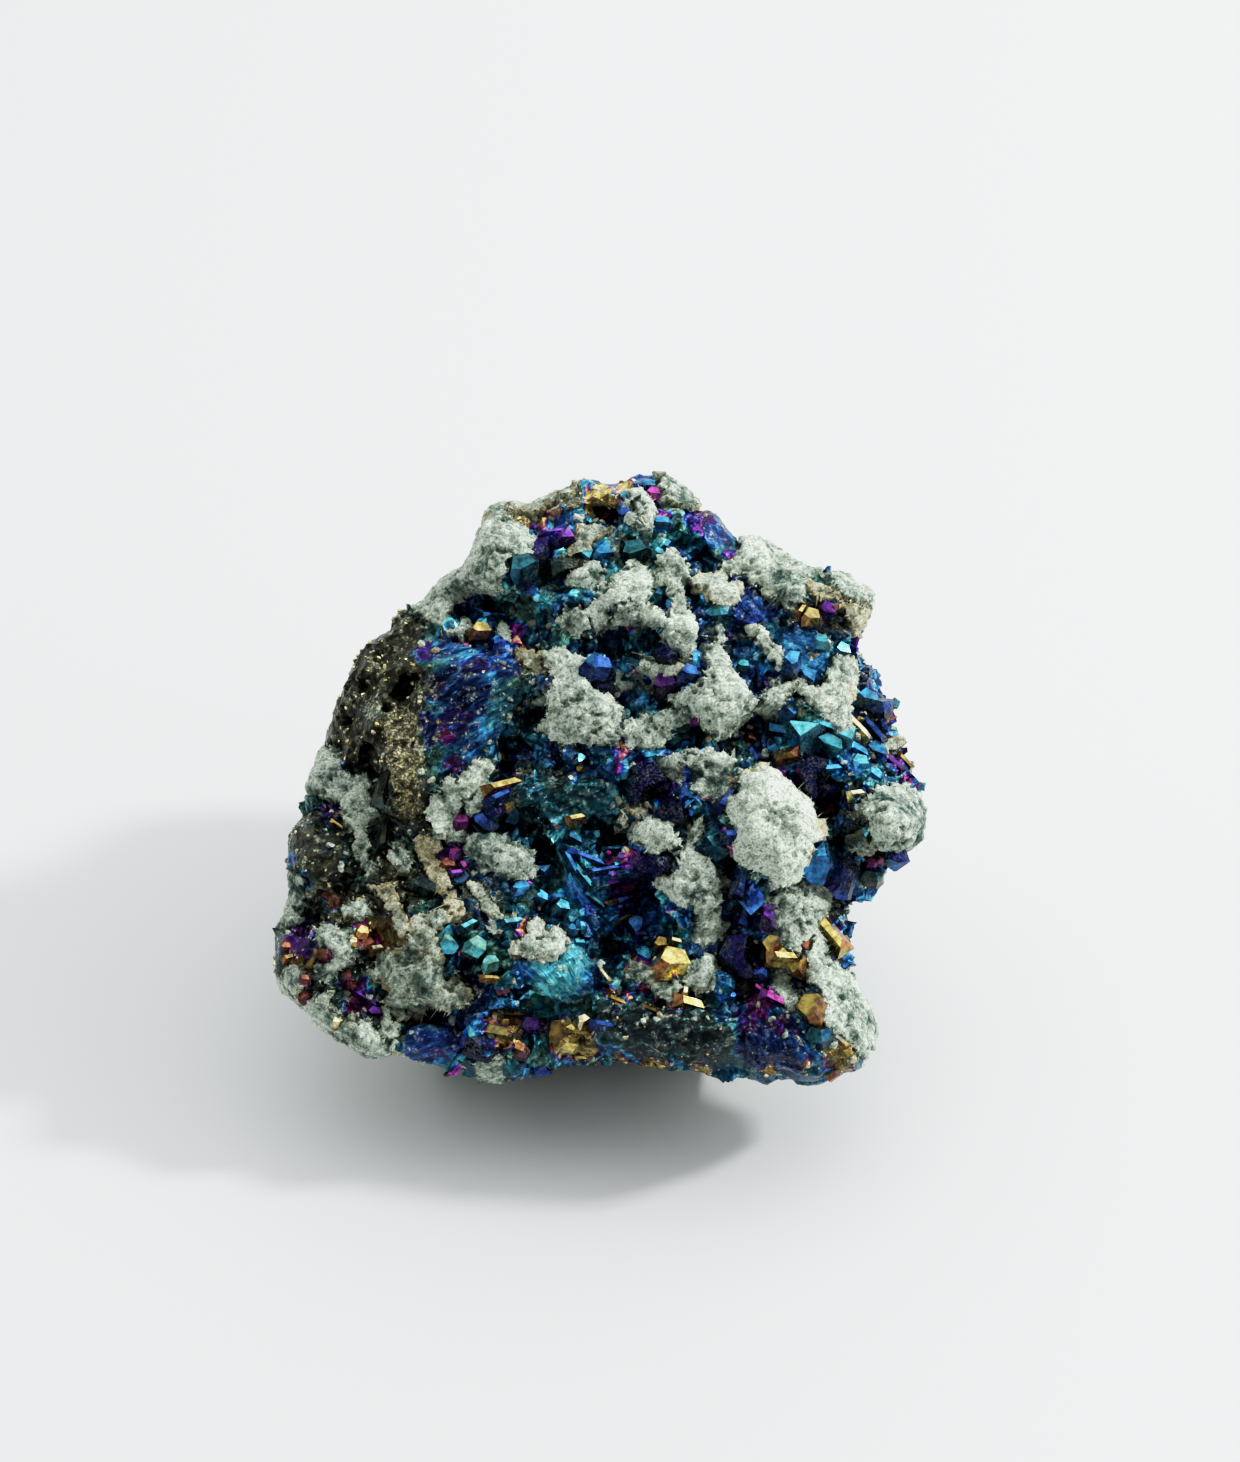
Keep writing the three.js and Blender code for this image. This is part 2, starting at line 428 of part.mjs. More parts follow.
const BELOW = 200; // size of the block that cuts the foot flat
let ore = solid(lumpGeometry());
CRYSTALS.forEach((crystal, index) => {
  ore = ore.add(solid(placedCrystal(crystal, index)));
});
ore = ore.subtract(solid(new THREE.BoxGeometry(BELOW, BELOW, BELOW).translate(0, 0, -BELOW / 2)));

const oreMaterial = new THREE.MeshStandardMaterial({
  color: new THREE.Color(0.16, 0.19, 0.2),
  roughness: 0.5,
  metalness: 0.7,
});
const oreMesh = new THREE.Mesh(geometryOf(ore), oreMaterial);
oreMesh.name = "ore";

const peacockOre = new THREE.Group();
peacockOre.add(oreMesh);

export default peacockOre;
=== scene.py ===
import math
import random

import bpy
import numpy as np
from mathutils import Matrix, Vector
from mathutils.bvhtree import BVHTree


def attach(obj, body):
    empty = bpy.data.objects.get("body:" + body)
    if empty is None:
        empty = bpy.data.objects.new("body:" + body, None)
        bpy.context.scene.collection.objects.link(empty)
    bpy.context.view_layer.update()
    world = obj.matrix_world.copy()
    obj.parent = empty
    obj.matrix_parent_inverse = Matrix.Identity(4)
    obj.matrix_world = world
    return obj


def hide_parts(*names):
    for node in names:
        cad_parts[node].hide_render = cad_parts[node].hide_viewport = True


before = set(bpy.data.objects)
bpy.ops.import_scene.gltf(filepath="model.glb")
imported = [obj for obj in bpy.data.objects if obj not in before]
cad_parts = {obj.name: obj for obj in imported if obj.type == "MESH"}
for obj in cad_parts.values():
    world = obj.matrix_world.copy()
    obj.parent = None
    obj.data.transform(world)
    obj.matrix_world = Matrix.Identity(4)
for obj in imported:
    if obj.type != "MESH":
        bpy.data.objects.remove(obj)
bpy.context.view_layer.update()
print("loaded the solid of the ore")

# Everything below is laid out in millimetres in the frame of the broken face:
# u across the face, v up it, w standing out of it. The face leans back from upright.
millimetre = 0.001
faceLean = math.radians(40)
across = np.array([1.0, 0.0, 0.0])
upFace = np.array([0.0, math.sin(faceLean), math.cos(faceLean)])
outOfFace = np.array([0.0, -math.cos(faceLean), math.sin(faceLean)])
lumpMiddle = np.array([-0.05, 0.36, 24.0])
# the rim between the face and the back: its slant, and how wide one turns into the other
rimSlant = -0.21
rimBlend = 2.0


def toFace(points):
    rel = np.asarray(points) - lumpMiddle
    return rel @ across, rel @ upFace, rel @ outOfFace


def fromFace(u, v, w):
    u, v, w = (np.asarray(a, float)[..., None] for a in (u, v, w))
    return lumpMiddle + u * across + v * upFace + w * outOfFace


def smoothStep(x, low, high):
    t = np.clip((x - low) / (high - low), 0, 1)
    return t * t * (3 - 2 * t)


def howFront(u, v, w):
    # 1 on the broken face, 0 on the back of the lump
    return smoothStep(w - rimSlant * v, -rimBlend, rimBlend)


# how each kind of round spot fades: its core and its rim, as shares of its radius
spotFade = {"stain": (0.3, 1.1), "pocket": (0.4, 1.15), "dust": (0.5, 1.3), "light": (0.5, 1.2)}


def spot(u, v, spotU, spotV, radius, kind):
    # 1 in the core of a round spot, 0 outside its rim
    return 1 - smoothStep(np.hypot(u - spotU, v - spotV) / radius, *spotFade[kind])


# repeatable noise and broken grains


def cellNumbers(cells, seed):
    # one number from 0 to 1 for each cell, always the same for the same seed
    c = cells.astype(np.int64).astype(np.uint32)
    n = c[..., 0] * np.uint32(73856093) ^ c[..., 1] * np.uint32(19349663)
    n = n ^ c[..., 2] * np.uint32(83492791) ^ np.uint32((seed * 2654435761) & 0xFFFFFFFF)
    n = (n ^ (n >> np.uint32(15))) * np.uint32(2246822519)
    n = (n ^ (n >> np.uint32(13))) * np.uint32(3266489917)
    return (n ^ (n >> np.uint32(16))) / 4294967296.0


def smoothNoise(points, size, seed):
    # from -1 to 1, with swells about as long as size
    p = points / size
    low = np.floor(p)
    t = p - low
    t = t * t * (3 - 2 * t)
    total = np.zeros(len(p))
    for i in (0, 1):
        for j in (0, 1):
            for k in (0, 1):
                share = np.abs(1 - i - t[:, 0]) * np.abs(1 - j - t[:, 1]) * np.abs(1 - k - t[:, 2])
                total += share * cellNumbers(low + [i, j, k], seed)
    return 2 * total - 1


def roughNoise(points, size, seed, layers=3):
    total = np.zeros(len(points))
    for layer in range(layers):
        total += smoothNoise(points, size / 2 ** layer, seed + layer) / 2 ** layer
    return total / 1.5


def brokenGrains(points, size, seed):
    # the nearest grain of each point: how its own tipped flat rises there, how near its edge is,
    # and its number from 0 to 1
    p = points / size
    home = np.floor(p)
    nearest = np.full(len(p), 1e9)
    second = np.full(len(p), 1e9)
    tipped = np.zeros(len(p))
    number = np.zeros(len(p))
    for i in (-1, 0, 1):
        for j in (-1, 0, 1):
            for k in (-1, 0, 1):
                cell = home + [i, j, k]
                jitter = np.stack([cellNumbers(cell, seed + a) for a in range(3)], 1)
                away = p - cell - jitter
                gap = np.sqrt((away ** 2).sum(1))
                slope = np.stack([cellNumbers(cell, seed + 3 + a) for a in range(3)], 1) * 2 - 1
                closer = gap < nearest
                second = np.where(closer, nearest, np.minimum(second, gap))
                tipped = np.where(closer, (away * slope).sum(1) * size, tipped)
                number = np.where(closer, cellNumbers(cell, seed + 6), number)
                nearest = np.minimum(nearest, gap)
    return tipped, (second - nearest) * size, number


# where the crust lies

# plates of grey crust on the broken face: how pale, how warm, then the corners as u, v
crustPlates = [
    (0.6, 0.2, [(-12.6, 26), (-11, 28.5), (-9.2, 28), (-9.6, 25.6), (-8, 25), (-6.6, 23.8), (-6.1, 22.4),
                (-6.6, 21.2), (-7.4, 21.6), (-8.3, 22), (-9.2, 20.9), (-9.3, 19.9), (-9.9, 19.1),
                (-9.2, 18.6), (-10.2, 18), (-11.8, 18.1), (-13.3, 17.9), (-14.3, 17.2), (-15, 15.6),
                (-15.2, 14.1), (-15.7, 15.2), (-17.7, 16.4), (-19.4, 16.9), (-18.6, 18.4), (-17, 19.2),
                (-15, 20.6), (-13.6, 22)]),
    (0.4, 0.5, [(-9.4, 28.6), (-9, 26.6), (-7, 26.3), (-6, 26.2), (-5, 26.9), (-3.8, 27.8), (-2.6, 27.6),
                (-2.6, 29.4), (-6, 29)]),
    (0.5, 0, [(-13.2, 16.1), (-12.6, 15.6), (-12.4, 15.1), (-13, 14.4), (-13.4, 13.8), (-14.4, 14.1),
              (-13.9, 14.8)]),
    (0.88, 0.1, [(1.2, 10.4), (2.4, 10.9), (3.5, 10), (3.1, 8.8), (1.9, 8.7), (1.2, 9.4)]),
    (1.0, 0.4, [(3.9, 11.1), (5.2, 10.8), (5.3, 9.4), (4.5, 9), (3.7, 10)]),
    (0.9, 0.2, [(-9.9, 15), (-9.2, 15.1), (-8.7, 14.2), (-8.5, 13.4), (-9.3, 13.8)]),
    (0.6, 0.5, [(-2.1, 24.3), (-0.2, 25), (0.6, 24.6), (1.3, 24.4), (-0.3, 23.8), (-1, 22.8),
                (-1.1, 21.6), (-1.6, 21.8), (-3.4, 21.3), (-3.1, 22.1), (-2.4, 23.2)]),
    (0.4, 0, [(-1, 21), (-0.2, 20.9), (0.2, 20), (0.4, 19), (-0.6, 18.6), (-1.5, 18.5), (-3.3, 18.8),
              (-2.8, 19.5), (-2, 20.3)]),
    (0.5, 0, [(2.9, 21.4), (3.6, 20.9), (4.6, 20.2), (5, 19.4), (4.8, 18.9), (5.2, 18.2), (4.6, 17.4),
              (4.2, 16.7), (3, 17.1), (1.4, 17.1), (0.6, 16.2), (0.9, 15.2), (-0.2, 14.6), (-0.9, 15.7),
              (-1, 16.4), (-0.6, 17.2), (0.2, 18.4), (1.3, 18.8), (1.6, 19.4), (1.8, 20), (2.6, 20.2)]),
    (0.65, 0, [(7.2, 22.2), (8, 21.4), (8.4, 20.3), (8.5, 19.3), (8.2, 18.3), (8.3, 17.2), (8.2, 16.4),
               (8.7, 15.5), (7.4, 15.3), (6.9, 15.9), (7.2, 17), (7.2, 17.8), (6.4, 18.4), (5.6, 18.6),
               (5.3, 19), (5.4, 20), (6.2, 20.3), (5.5, 21), (6.2, 21.9)]),
    (0.7, 0, [(0.9, 14.9), (1.6, 15.6), (2.2, 16.5), (3.4, 17), (4.5, 16.8), (5.6, 15.9), (6.6, 15.2),
              (6.1, 14.6), (4.8, 14.7), (3, 14.8), (2, 14.8)]),
    (0.6, 0, [(6.2, 14.9), (7.1, 15.4), (8.5, 15.3), (9.4, 14.7), (9.6, 13.8), (9.1, 12.6), (8.3, 11.9),
              (7.6, 11.8), (6.8, 12.6), (6, 13.3), (5.9, 14.2)]),
    (0.6, 0, [(-3.8, 15.6), (-3, 16.5), (-2.1, 16.8), (-1, 16.5), (-0.6, 16.3), (-1.2, 15.5),
              (-1.4, 14.9), (-2, 13.6), (-2.5, 14), (-2.6, 14.6), (-3.4, 14.9)]),
    (0.88, 0.4, [(3.4, 12.3), (4.6, 11.6), (6, 11), (7.2, 11.4), (7.8, 11), (7.8, 10.2), (6.6, 10.1),
                 (5.4, 9.9), (5, 9.1), (4.3, 9.6), (3.9, 10.3), (3.4, 11.1), (2.4, 11.6)]),
    (0.65, 0.1, [(-5.4, 12.6), (-4.6, 12.8), (-3.3, 12.8), (-2.6, 12), (-1.4, 11.4), (-1.3, 10.4),
                 (-0.7, 9.3), (0.2, 8.4), (1.2, 7.9), (2, 6.9), (2.1, 5.7), (2, 4.7), (1.7, 3.5),
                 (0.2, 3.6), (-1.2, 4), (-2.4, 3.7), (-3.4, 3.5), (-4.2, 4.2), (-6.1, 4.9), (-5.5, 5.5),
                 (-4.9, 6.3), (-4.9, 7.2), (-6.6, 7.6), (-6.2, 8.2), (-5, 8), (-4.4, 8.7), (-4.2, 9.8),
                 (-5, 10.6), (-5.4, 11.4)]),
    (0.3, 0.7, [(-7.9, 12.4), (-6.6, 12.7), (-5.4, 12.5), (-5.4, 11.2), (-5.2, 10.2), (-6, 9.2),
                (-6.6, 10.4), (-7.2, 11.4)]),
    (0.7, 0.1, [(2.1, 5.6), (3.4, 5.8), (4.6, 6.3), (5.9, 7), (7.2, 6.7), (8.6, 7.1), (9.3, 6.6),
                (8.6, 5.6), (7.3, 5.2), (5.9, 5), (6.6, 4.3), (6.4, 3.9), (5.4, 3.4), (3.9, 3.2),
                (2.6, 3.5), (2, 4.6)]),
    (0.6, 0, [(6.6, 7.7), (7.4, 8.3), (8.4, 8.6), (9.2, 9.5), (10.3, 9.8), (11, 10.5), (10.6, 11.2),
              (10, 12), (10.5, 12.9), (11.3, 13.1), (12.2, 12.4), (12.5, 11.2), (12.9, 10.1), (13.6, 9.2),
              (14.6, 8.4), (15.4, 7.9), (14.7, 7.2), (14.3, 6.3), (13.7, 5.2), (12.7, 4.6), (11.7, 3.9),
              (10.9, 4.6), (10, 5.1), (9.9, 5.9), (9.3, 6.5), (8.9, 7), (7.9, 7.3)]),
    (0.7, 0.1, [(15.6, 7.6), (16, 8.7), (17, 9.3), (18, 9.7), (18.9, 9.7), (18.3, 8.4), (17.4, 7.5),
                (16.9, 6.4), (16.3, 5.3), (15.6, 6.2), (15.2, 7)]),
    (0.8, 0.1, [(15.1, 14.6), (15.8, 14.2), (16.6, 13.5), (17.5, 12.9), (17.6, 12.3), (17.2, 11.3),
                (16.3, 11.8), (15.6, 12.6), (15.3, 13.6)]),
    (0.6, 0, [(11, 14.8), (11.6, 15), (12.2, 14.4), (12, 13.5), (11.6, 13.2), (11, 13.6)]),
    (0.75, 0.5, [(8.8, 19.4), (10.2, 20), (11.4, 19.6), (12.8, 18.8), (13.5, 18.3), (13.3, 17.5),
                 (12.3, 17), (11.4, 16.9), (10.6, 17.8), (9.4, 18.4)]),
    (0.6, 0.15, [(14, 24.6), (16.6, 24.6), (18.2, 23.4), (20.4, 22.2), (21.7, 20.6), (20.3, 19.9),
                 (19.6, 19.3), (20, 18), (19.4, 17.2), (18.6, 16.4), (17.9, 17.2), (16.6, 18),
                 (15.6, 18.7), (14.6, 19.2), (13.9, 20), (12.6, 20.2), (11.9, 20.7), (12.8, 21.4),
                 (13.6, 22)]),
    (0.4, 0, [(22.8, 21.4), (24, 21), (26, 19.6), (28.4, 18), (28, 16), (27.3, 16.4), (26, 17.1),
              (25, 17.6), (23.8, 18), (23, 18.6), (22.9, 19.6)]),
    (0.5, 0.8, [(20, 19.6), (21, 19.3), (21.8, 18.7), (22.8, 18.4), (23.4, 17.6), (22.5, 17.5),
                (21.5, 17.9), (20.6, 18)]),
    (0.7, 0.9, [(23.6, 17.2), (24.8, 17), (26, 16.6), (26.6, 15.8), (25.8, 15.2), (25.4, 14.2),
                (24.6, 14.4), (24.4, 15.6), (23.6, 16.2)]),
    (0.55, 0.25, [(21.7, 10.9), (22.8, 11.7), (24.2, 12), (25, 11), (25, 9.4), (24.6, 8), (24, 7),
                  (24.2, 5.6), (24.9, 4.3), (24.3, 3.6), (23.2, 4.2), (22, 4.6), (21.2, 5.4), (21.5, 6.3),
                  (20.8, 6.7), (20.2, 7.4), (19.6, 8.1), (19, 8.9), (19.4, 9.7), (20.2, 9), (21.1, 8.6),
                  (21.6, 9.6)]),
    (0.45, 0.5, [(25.8, 3), (27, 3.6), (28.2, 4.2), (29.2, 3.6), (28.4, 3.2), (27.4, 2.4), (26.6, 1.9),
                 (26, 2.4)]),
    (1.1, 0.1, [(13.4, 0.4), (14, 0.8), (14.9, 1.5), (16, 1.1), (17.3, 0.3), (18.3, -0.6), (19.6, -1.3),
                (20.1, -2.2), (20.4, -3.3), (21, -4), (21.4, -4.8), (20.8, -5.5), (19.8, -5.6),
                (20.2, -6.4), (19.6, -7), (19.3, -7.9), (19, -8.9), (18, -9.6), (16.8, -9.7), (16.2, -9),
                (14.8, -8.4), (13.6, -8), (12.9, -7), (12.7, -6), (13.1, -5.2), (12.8, -4.4),
                (12.3, -3.2), (11.8, -2.8), (12, -1.8), (13.2, -1.2), (13.6, -0.2)]),
    (0.45, 0, [(25, -1.9), (26.6, -1), (28, -0.4), (29.3, -0.5), (30.4, -1), (33, -2), (33.4, -5),
               (32, -7.4), (30.2, -7.4), (28.6, -7), (27.4, -6.6), (26.6, -5.6), (26.1, -4.6),
               (25.6, -3.6), (25.2, -2.9)]),
    (0.15, 0.5, [(23.7, -5.2), (24.6, -5), (25.8, -6), (26.6, -6.8), (25.6, -6.9), (24.6, -6.5),
                 (23.8, -5.9)]),
    (0.5, 0.1, [(16.3, -11), (17.3, -10.7), (18.6, -10.4), (19.6, -9.9), (20.6, -9.3), (21.6, -9.6),
                (21.9, -10.6), (21.8, -12), (21.4, -13), (21, -14), (20, -14.8), (19, -15.6), (18.4, -16),
                (17.6, -15.3), (16.9, -14.4), (16.5, -13.4), (16.3, -12.4)]),
    (0.45, 0, [(20.4, -14.6), (21, -14.4), (21.5, -15.6), (22, -16.8), (23, -18), (24.2, -19.2),
               (25, -21), (26.2, -22.5), (27.4, -24), (28.4, -25.4), (26.8, -27), (25.4, -27.4),
               (24.6, -25.4), (23.2, -24), (21.8, -23.2), (20.8, -22.4), (21.4, -21.4), (21, -20.2),
               (20.6, -19.2), (19.8, -18.6), (19.9, -17.2), (19.6, -16.2)]),
    (0.9, 0, [(17.8, -18), (18.2, -18.6), (17.9, -19.2), (18.6, -20), (18.8, -20.8), (18, -21.3),
              (17.4, -20.7), (16.9, -19.8), (16.4, -19.5), (16.8, -18.8)]),
    (0.5, 0.1, [(7.8, 2.4), (9, 2.9), (10.6, 2.5), (11.8, 2.4), (13, 2), (13.4, 1.4), (12.4, 1),
                (12.8, 0.2), (12.4, -0.9), (12, -1.8), (10.8, -1.9), (9.8, -1.4), (9, -0.6), (9.3, 0.4),
                (8.6, 1.4), (8, 1.8)]),
    (0.7, 0, [(5.4, 2.3), (6.6, 2.4), (7.6, 2.1), (7.7, 1.2), (6.9, 0.7), (5.8, 0.7), (5.4, 1.4)]),
    (0.7, 0, [(3.6, -3.8), (4.7, -3.3), (5.8, -3.2), (6.6, -4), (6.8, -4.9), (7.7, -5.3), (8.2, -6.1),
              (7, -6.2), (6.3, -6.1), (5.8, -6.8), (4.9, -6.7), (4.2, -6), (3, -5.3), (3.4, -4.5)]),
    (0.6, 0.5, [(2.7, -1.8), (3.4, -1.7), (4.5, -2.2), (4.4, -3), (3.5, -3.1), (2.6, -2.4)]),
    (0.8, 0.4, [(2.2, -2.8), (2.6, -3.4), (2.5, -4.2), (1.9, -4.6), (1.6, -4.1), (1.9, -3.4)]),
    (0.6, 0.1, [(8.8, -3.8), (9.6, -3.5), (9.8, -4.3), (9.3, -5.1), (8.9, -6), (9.2, -7), (9.9, -7.3),
                (10.4, -7.9), (11.6, -8.7), (12, -9.4), (11.4, -10), (11, -10.5), (11.3, -11.6),
                (11, -12.6), (11.4, -13.6), (11.6, -15), (10.6, -15.5), (9.4, -15.4), (8.6, -14.8),
                (9, -13.8), (9.4, -12.6), (9, -11.6), (7.4, -11.3), (6.3, -10.2), (5.5, -9.6),
                (6.4, -8.9), (7.4, -8.3), (8, -7.4), (7.6, -6.6), (8.2, -5.8), (8.4, -4.8)]),
    (0.5, 0, [(8.6, -16.9), (9.6, -16.7), (10.6, -16.8), (11.2, -17.6), (11.7, -18.8), (10.8, -19.7),
              (9.8, -19.9), (9, -19.5), (8.3, -19.2), (8.2, -18.4)]),
    (0.5, 0, [(3, -17.8), (4.2, -17.8), (5.4, -17.9), (6.5, -18.3), (7.5, -18.9), (7.2, -19.8),
              (6.6, -20.6), (5.6, -20.2), (4.8, -19.4), (3.8, -18.9), (2.6, -18.6)]),
    (0.6, 0, [(-14.9, -0.3), (-14.2, 0.1), (-13.4, 0), (-12.4, 1), (-11.6, 2), (-10.6, 1.6), (-10.5, 0.4),
              (-10.6, -0.8), (-11, -2.4), (-11.6, -3.3), (-12.2, -3), (-11.9, -1.6), (-12.6, -1.2),
              (-13.4, -1.7), (-13.2, -2.4), (-13.7, -3.4), (-13.6, -4.6), (-14, -5.4), (-14.8, -5.4),
              (-15.4, -4.8), (-15.9, -3.8), (-16.2, -2.6), (-15.8, -1.8), (-15, -1.4)]),
    (0.4, 0.1, [(-12.2, -5.2), (-10.8, -5), (-9.6, -5.2), (-8.4, -5.6), (-7.4, -6.2), (-6.6, -7),
                (-6.2, -8), (-6.3, -9), (-7, -9.3), (-8.2, -9.1), (-9.6, -9), (-10.4, -8.7), (-11.2, -8),
                (-12.4, -7.2), (-12.7, -6.2)]),
    (0.55, 0.2, [(-10.2, -13.2), (-9.2, -12.9), (-8.2, -12.7), (-7.9, -13.2), (-8.8, -13.6),
                 (-9.2, -14.4), (-10.2, -14.4), (-10.6, -13.8)]),
    (0.75, 0.4, [(-7.2, -15.2), (-6.4, -14.8), (-5.2, -14.9), (-4.6, -14), (-3.6, -14), (-3.2, -15),
                 (-3.4, -15.8), (-4.4, -16.5), (-5.6, -16.9), (-6.8, -16.6), (-7.6, -15.8), (-8.4, -16.6),
                 (-8.7, -15.8)]),
    (0.6, 0.3, [(-6.8, -13.9), (-6, -12.9), (-5.2, -13.6), (-5.6, -14.4)]),
    (0.33, 0.5, [(-17.6, -13.2), (-16, -12.6), (-15, -12.3), (-14.4, -12.9), (-14.9, -13.9),
                 (-15.8, -14.4), (-15.2, -15.6), (-15.3, -16.4), (-14.7, -17.4), (-15, -18.4),
                 (-14.9, -19.4), (-14.2, -18.4), (-13.3, -18.6), (-12.8, -19.3), (-12.3, -20.3),
                 (-12.6, -21.1), (-14, -22), (-15, -21.5), (-16.4, -21.4), (-17.4, -22), (-18.4, -22),
                 (-19.4, -21.6), (-20, -20.6), (-19.6, -19.8), (-20.4, -18.6), (-21.8, -18.2),
                 (-22.8, -17.6), (-21.2, -17.8), (-21.4, -16.8), (-20, -16), (-18.4, -16.2),
                 (-17.8, -15)]),
    (0.5, 0, [(-26.8, -14.5), (-26, -13.6), (-24.9, -13.8), (-23.9, -15.2), (-23, -16.3), (-23.4, -17.2),
              (-24.6, -17.6), (-25.2, -18.8), (-26.6, -19), (-26.9, -18.2), (-25.8, -17.2),
              (-25.4, -16.2), (-26.2, -15.4)]),
    (0.42, 0.25, [(-32, -19.4), (-30, -18), (-29, -18), (-28.2, -18.8), (-28.8, -19.6), (-28.4, -20.6),
                  (-27.4, -20.9), (-26, -19.6), (-25.2, -20), (-25.8, -21.4), (-24.8, -22.2),
                  (-23.4, -23), (-22.2, -23), (-21.4, -23.9), (-20.3, -24.8), (-19.2, -26), (-19.3, -27),
                  (-21, -28), (-23.2, -28.4), (-25, -27.4), (-26.8, -26), (-28.8, -24.4), (-31, -22)]),
    (0.45, 0, [(-31.4, -8.9), (-29, -9), (-28.4, -10.2), (-28.2, -11.6), (-29.2, -12.2), (-29.6, -13.4),
               (-30.4, -14.2), (-31.6, -13.4), (-31.6, -11)]),
    (0.45, 0.15, [(-27.8, 3.4), (-26, 2.8), (-25.3, 2), (-25, 1.1), (-24.2, 0.6), (-22.8, 0.6),
                  (-22.2, -0.2), (-21.8, -1.6), (-22, -2.6), (-21.4, -3.2), (-22, -3.6), (-22.4, -4.6),
                  (-22.1, -5.6), (-22.3, -7.2), (-21.4, -8.6), (-22.2, -9.2), (-23.2, -8), (-23.6, -6.6),
                  (-23.2, -5), (-24.2, -4.2), (-24.6, -3), (-24.5, -1.9), (-25.6, -1.6), (-26.6, -1.4),
                  (-28.2, -1.2), (-30, -0.6), (-29.4, 0.6), (-28.6, 1.6)]),
    (0.8, 0.3, [(-24.4, -12.2), (-23.6, -11.4), (-22.4, -11.2), (-22, -12.4), (-22.8, -13.1),
                (-23.8, -12.8)]),
    (0.3, 0.6, [(-22, -10), (-20.2, -9.6), (-19.4, -10.6), (-18.6, -12.4), (-18, -13.8), (-18.4, -14.8),
                (-19.4, -12.8), (-20.4, -11.2)]),
    (0.95, 0.2, [(-20.8, -21.7), (-20.2, -21.5), (-19.9, -22.6), (-19.2, -23.4), (-19, -24.2),
                 (-19.8, -24.4), (-20.6, -23.8), (-20.4, -22.6)]),
    (0.4, 0, [(-11.6, -27.2), (-11, -26.3), (-10.2, -25.9), (-9.4, -26), (-8.5, -26.8), (-8.8, -27.6),
              (-9.8, -28.6), (-11.2, -28.8)]),
    (0.9, 0.4, [(-12.6, -9.5), (-11.4, -9.7), (-10.6, -10.6), (-10.2, -11.4), (-9.6, -12), (-9.9, -12.6),
                (-11, -12.2), (-11.4, -11), (-12, -10.8)]),
    (0.8, 0.8, [(-14.3, -11.4), (-13.6, -10.9), (-12.8, -11.4), (-13, -12.4), (-13.8, -12.6)]),
    (0.35, 0.2, [(-19.8, -6.6), (-19, -6), (-18.2, -6.6), (-17.8, -7.4), (-18.6, -8), (-19.6, -7.8)]),
    (0.75, 1, [(-17.8, -4.8), (-16.4, -5.2), (-15.5, -6.2), (-15.8, -7.2), (-15.2, -8.6), (-14.2, -9.8),
               (-14.8, -10.4), (-16, -9.4), (-16.8, -8), (-17.2, -6.6)]),
    (0.65, 0, [(2.6, 26.6), (3.2, 27.6), (4, 27.9), (4.9, 27.3), (5.4, 26.3), (5.4, 25.2), (5, 24.5),
               (4.4, 25), (3.9, 25.4), (3.2, 24.6), (2.7, 25.1)]),
    (0.35, 0.3, [(5.8, 28.6), (6.6, 27.6), (8, 26.9), (9, 26.6), (10.4, 27.8), (9, 30), (6.6, 30.4)]),
]
# yellowish stains on the crust: u, v, radius, how strong
crustStains = [(21, -4.2, 1.5, 1.1), (20.2, -7, 1.3, 0.9), (14.4, 1.3, 1.3, 1), (12.6, 0.2, 0.8, 0.8),
               (12, -8.4, 1.2, 0.6), (-12, 26, 2.4, 0.8), (16, 22.4, 2, 0.5), (25.4, 20.4, 1.6, 0.6),
               (24, 8.6, 1.6, 0.7), (3.2, -3.6, 0.8, 0.9)]
# how the edge of each plate frays, and how much of the back the crust covers
crustEdge = {"grow": 0.06, "wander": 0.22, "wanderSize": 2.6, "notch": 0.45, "notchSize": 1.25,
             "fray": 0.42, "fraySize": 0.6, "smoothAbove": 0.85, "smoothShare": 0.15,
             "backCover": -0.05, "backSteep": 3.2, "backSize": 9.0}
# soft clouds of the crust, and its tone on the back
crustTone = {"cloud": 0.2, "cloudSize": 3.0, "backPale": 0.45, "backWarm": 0.15}


def insideShape(u, v, corners):
    # millimetres inside a cornered outline, negative outside
    nearest = np.full(len(u), 1e9)
    inside = np.zeros(len(u), bool)
    for (au, av), (bu, bv) in zip(corners, corners[1:] + corners[:1]):
        du, dv = bu - au, bv - av
        t = np.clip(((u - au) * du + (v - av) * dv) / (du * du + dv * dv), 0, 1)
        nearest = np.minimum(nearest, np.hypot(u - au - t * du, v - av - t * dv))
        if av != bv:
            inside ^= ((av > v) != (bv > v)) & (u < du * (v - av) / dv + au)
    return np.where(inside, nearest, -nearest)


def insideAny(u, v, shapes, reach=3.0):
    # the deepest of several outlines and its place in the list
    best = np.full(len(u), -reach)
    which = np.zeros(len(u), int)
    for index, corners in enumerate(shapes):
        us, vs = [c[0] for c in corners], [c[1] for c in corners]
        near = np.flatnonzero((u > min(us) - reach) & (u < max(us) + reach) & (v > min(vs) - reach)
                              & (v < max(vs) + reach))
        depth = insideShape(u[near], v[near], corners)
        deeper = near[depth > best[near]]
        which[deeper] = index
        best[near] = np.maximum(best[near], depth)
    return best, which


plateShapes = [corners for pale, warm, corners in crustPlates]
platePale = np.array([pale for pale, warm, corners in crustPlates])
plateWarm = np.array([warm for pale, warm, corners in crustPlates])


def crustFray(points):
    notch = brokenGrains(points, crustEdge["notchSize"], 13)[2]
    fray = brokenGrains(points, crustEdge["fraySize"], 19)[2]
    ragged = crustEdge["notch"] * (notch - 0.5) + crustEdge["fray"] * (fray - 0.5)
    return ragged + crustEdge["wander"] * roughNoise(points, crustEdge["wanderSize"], 11)


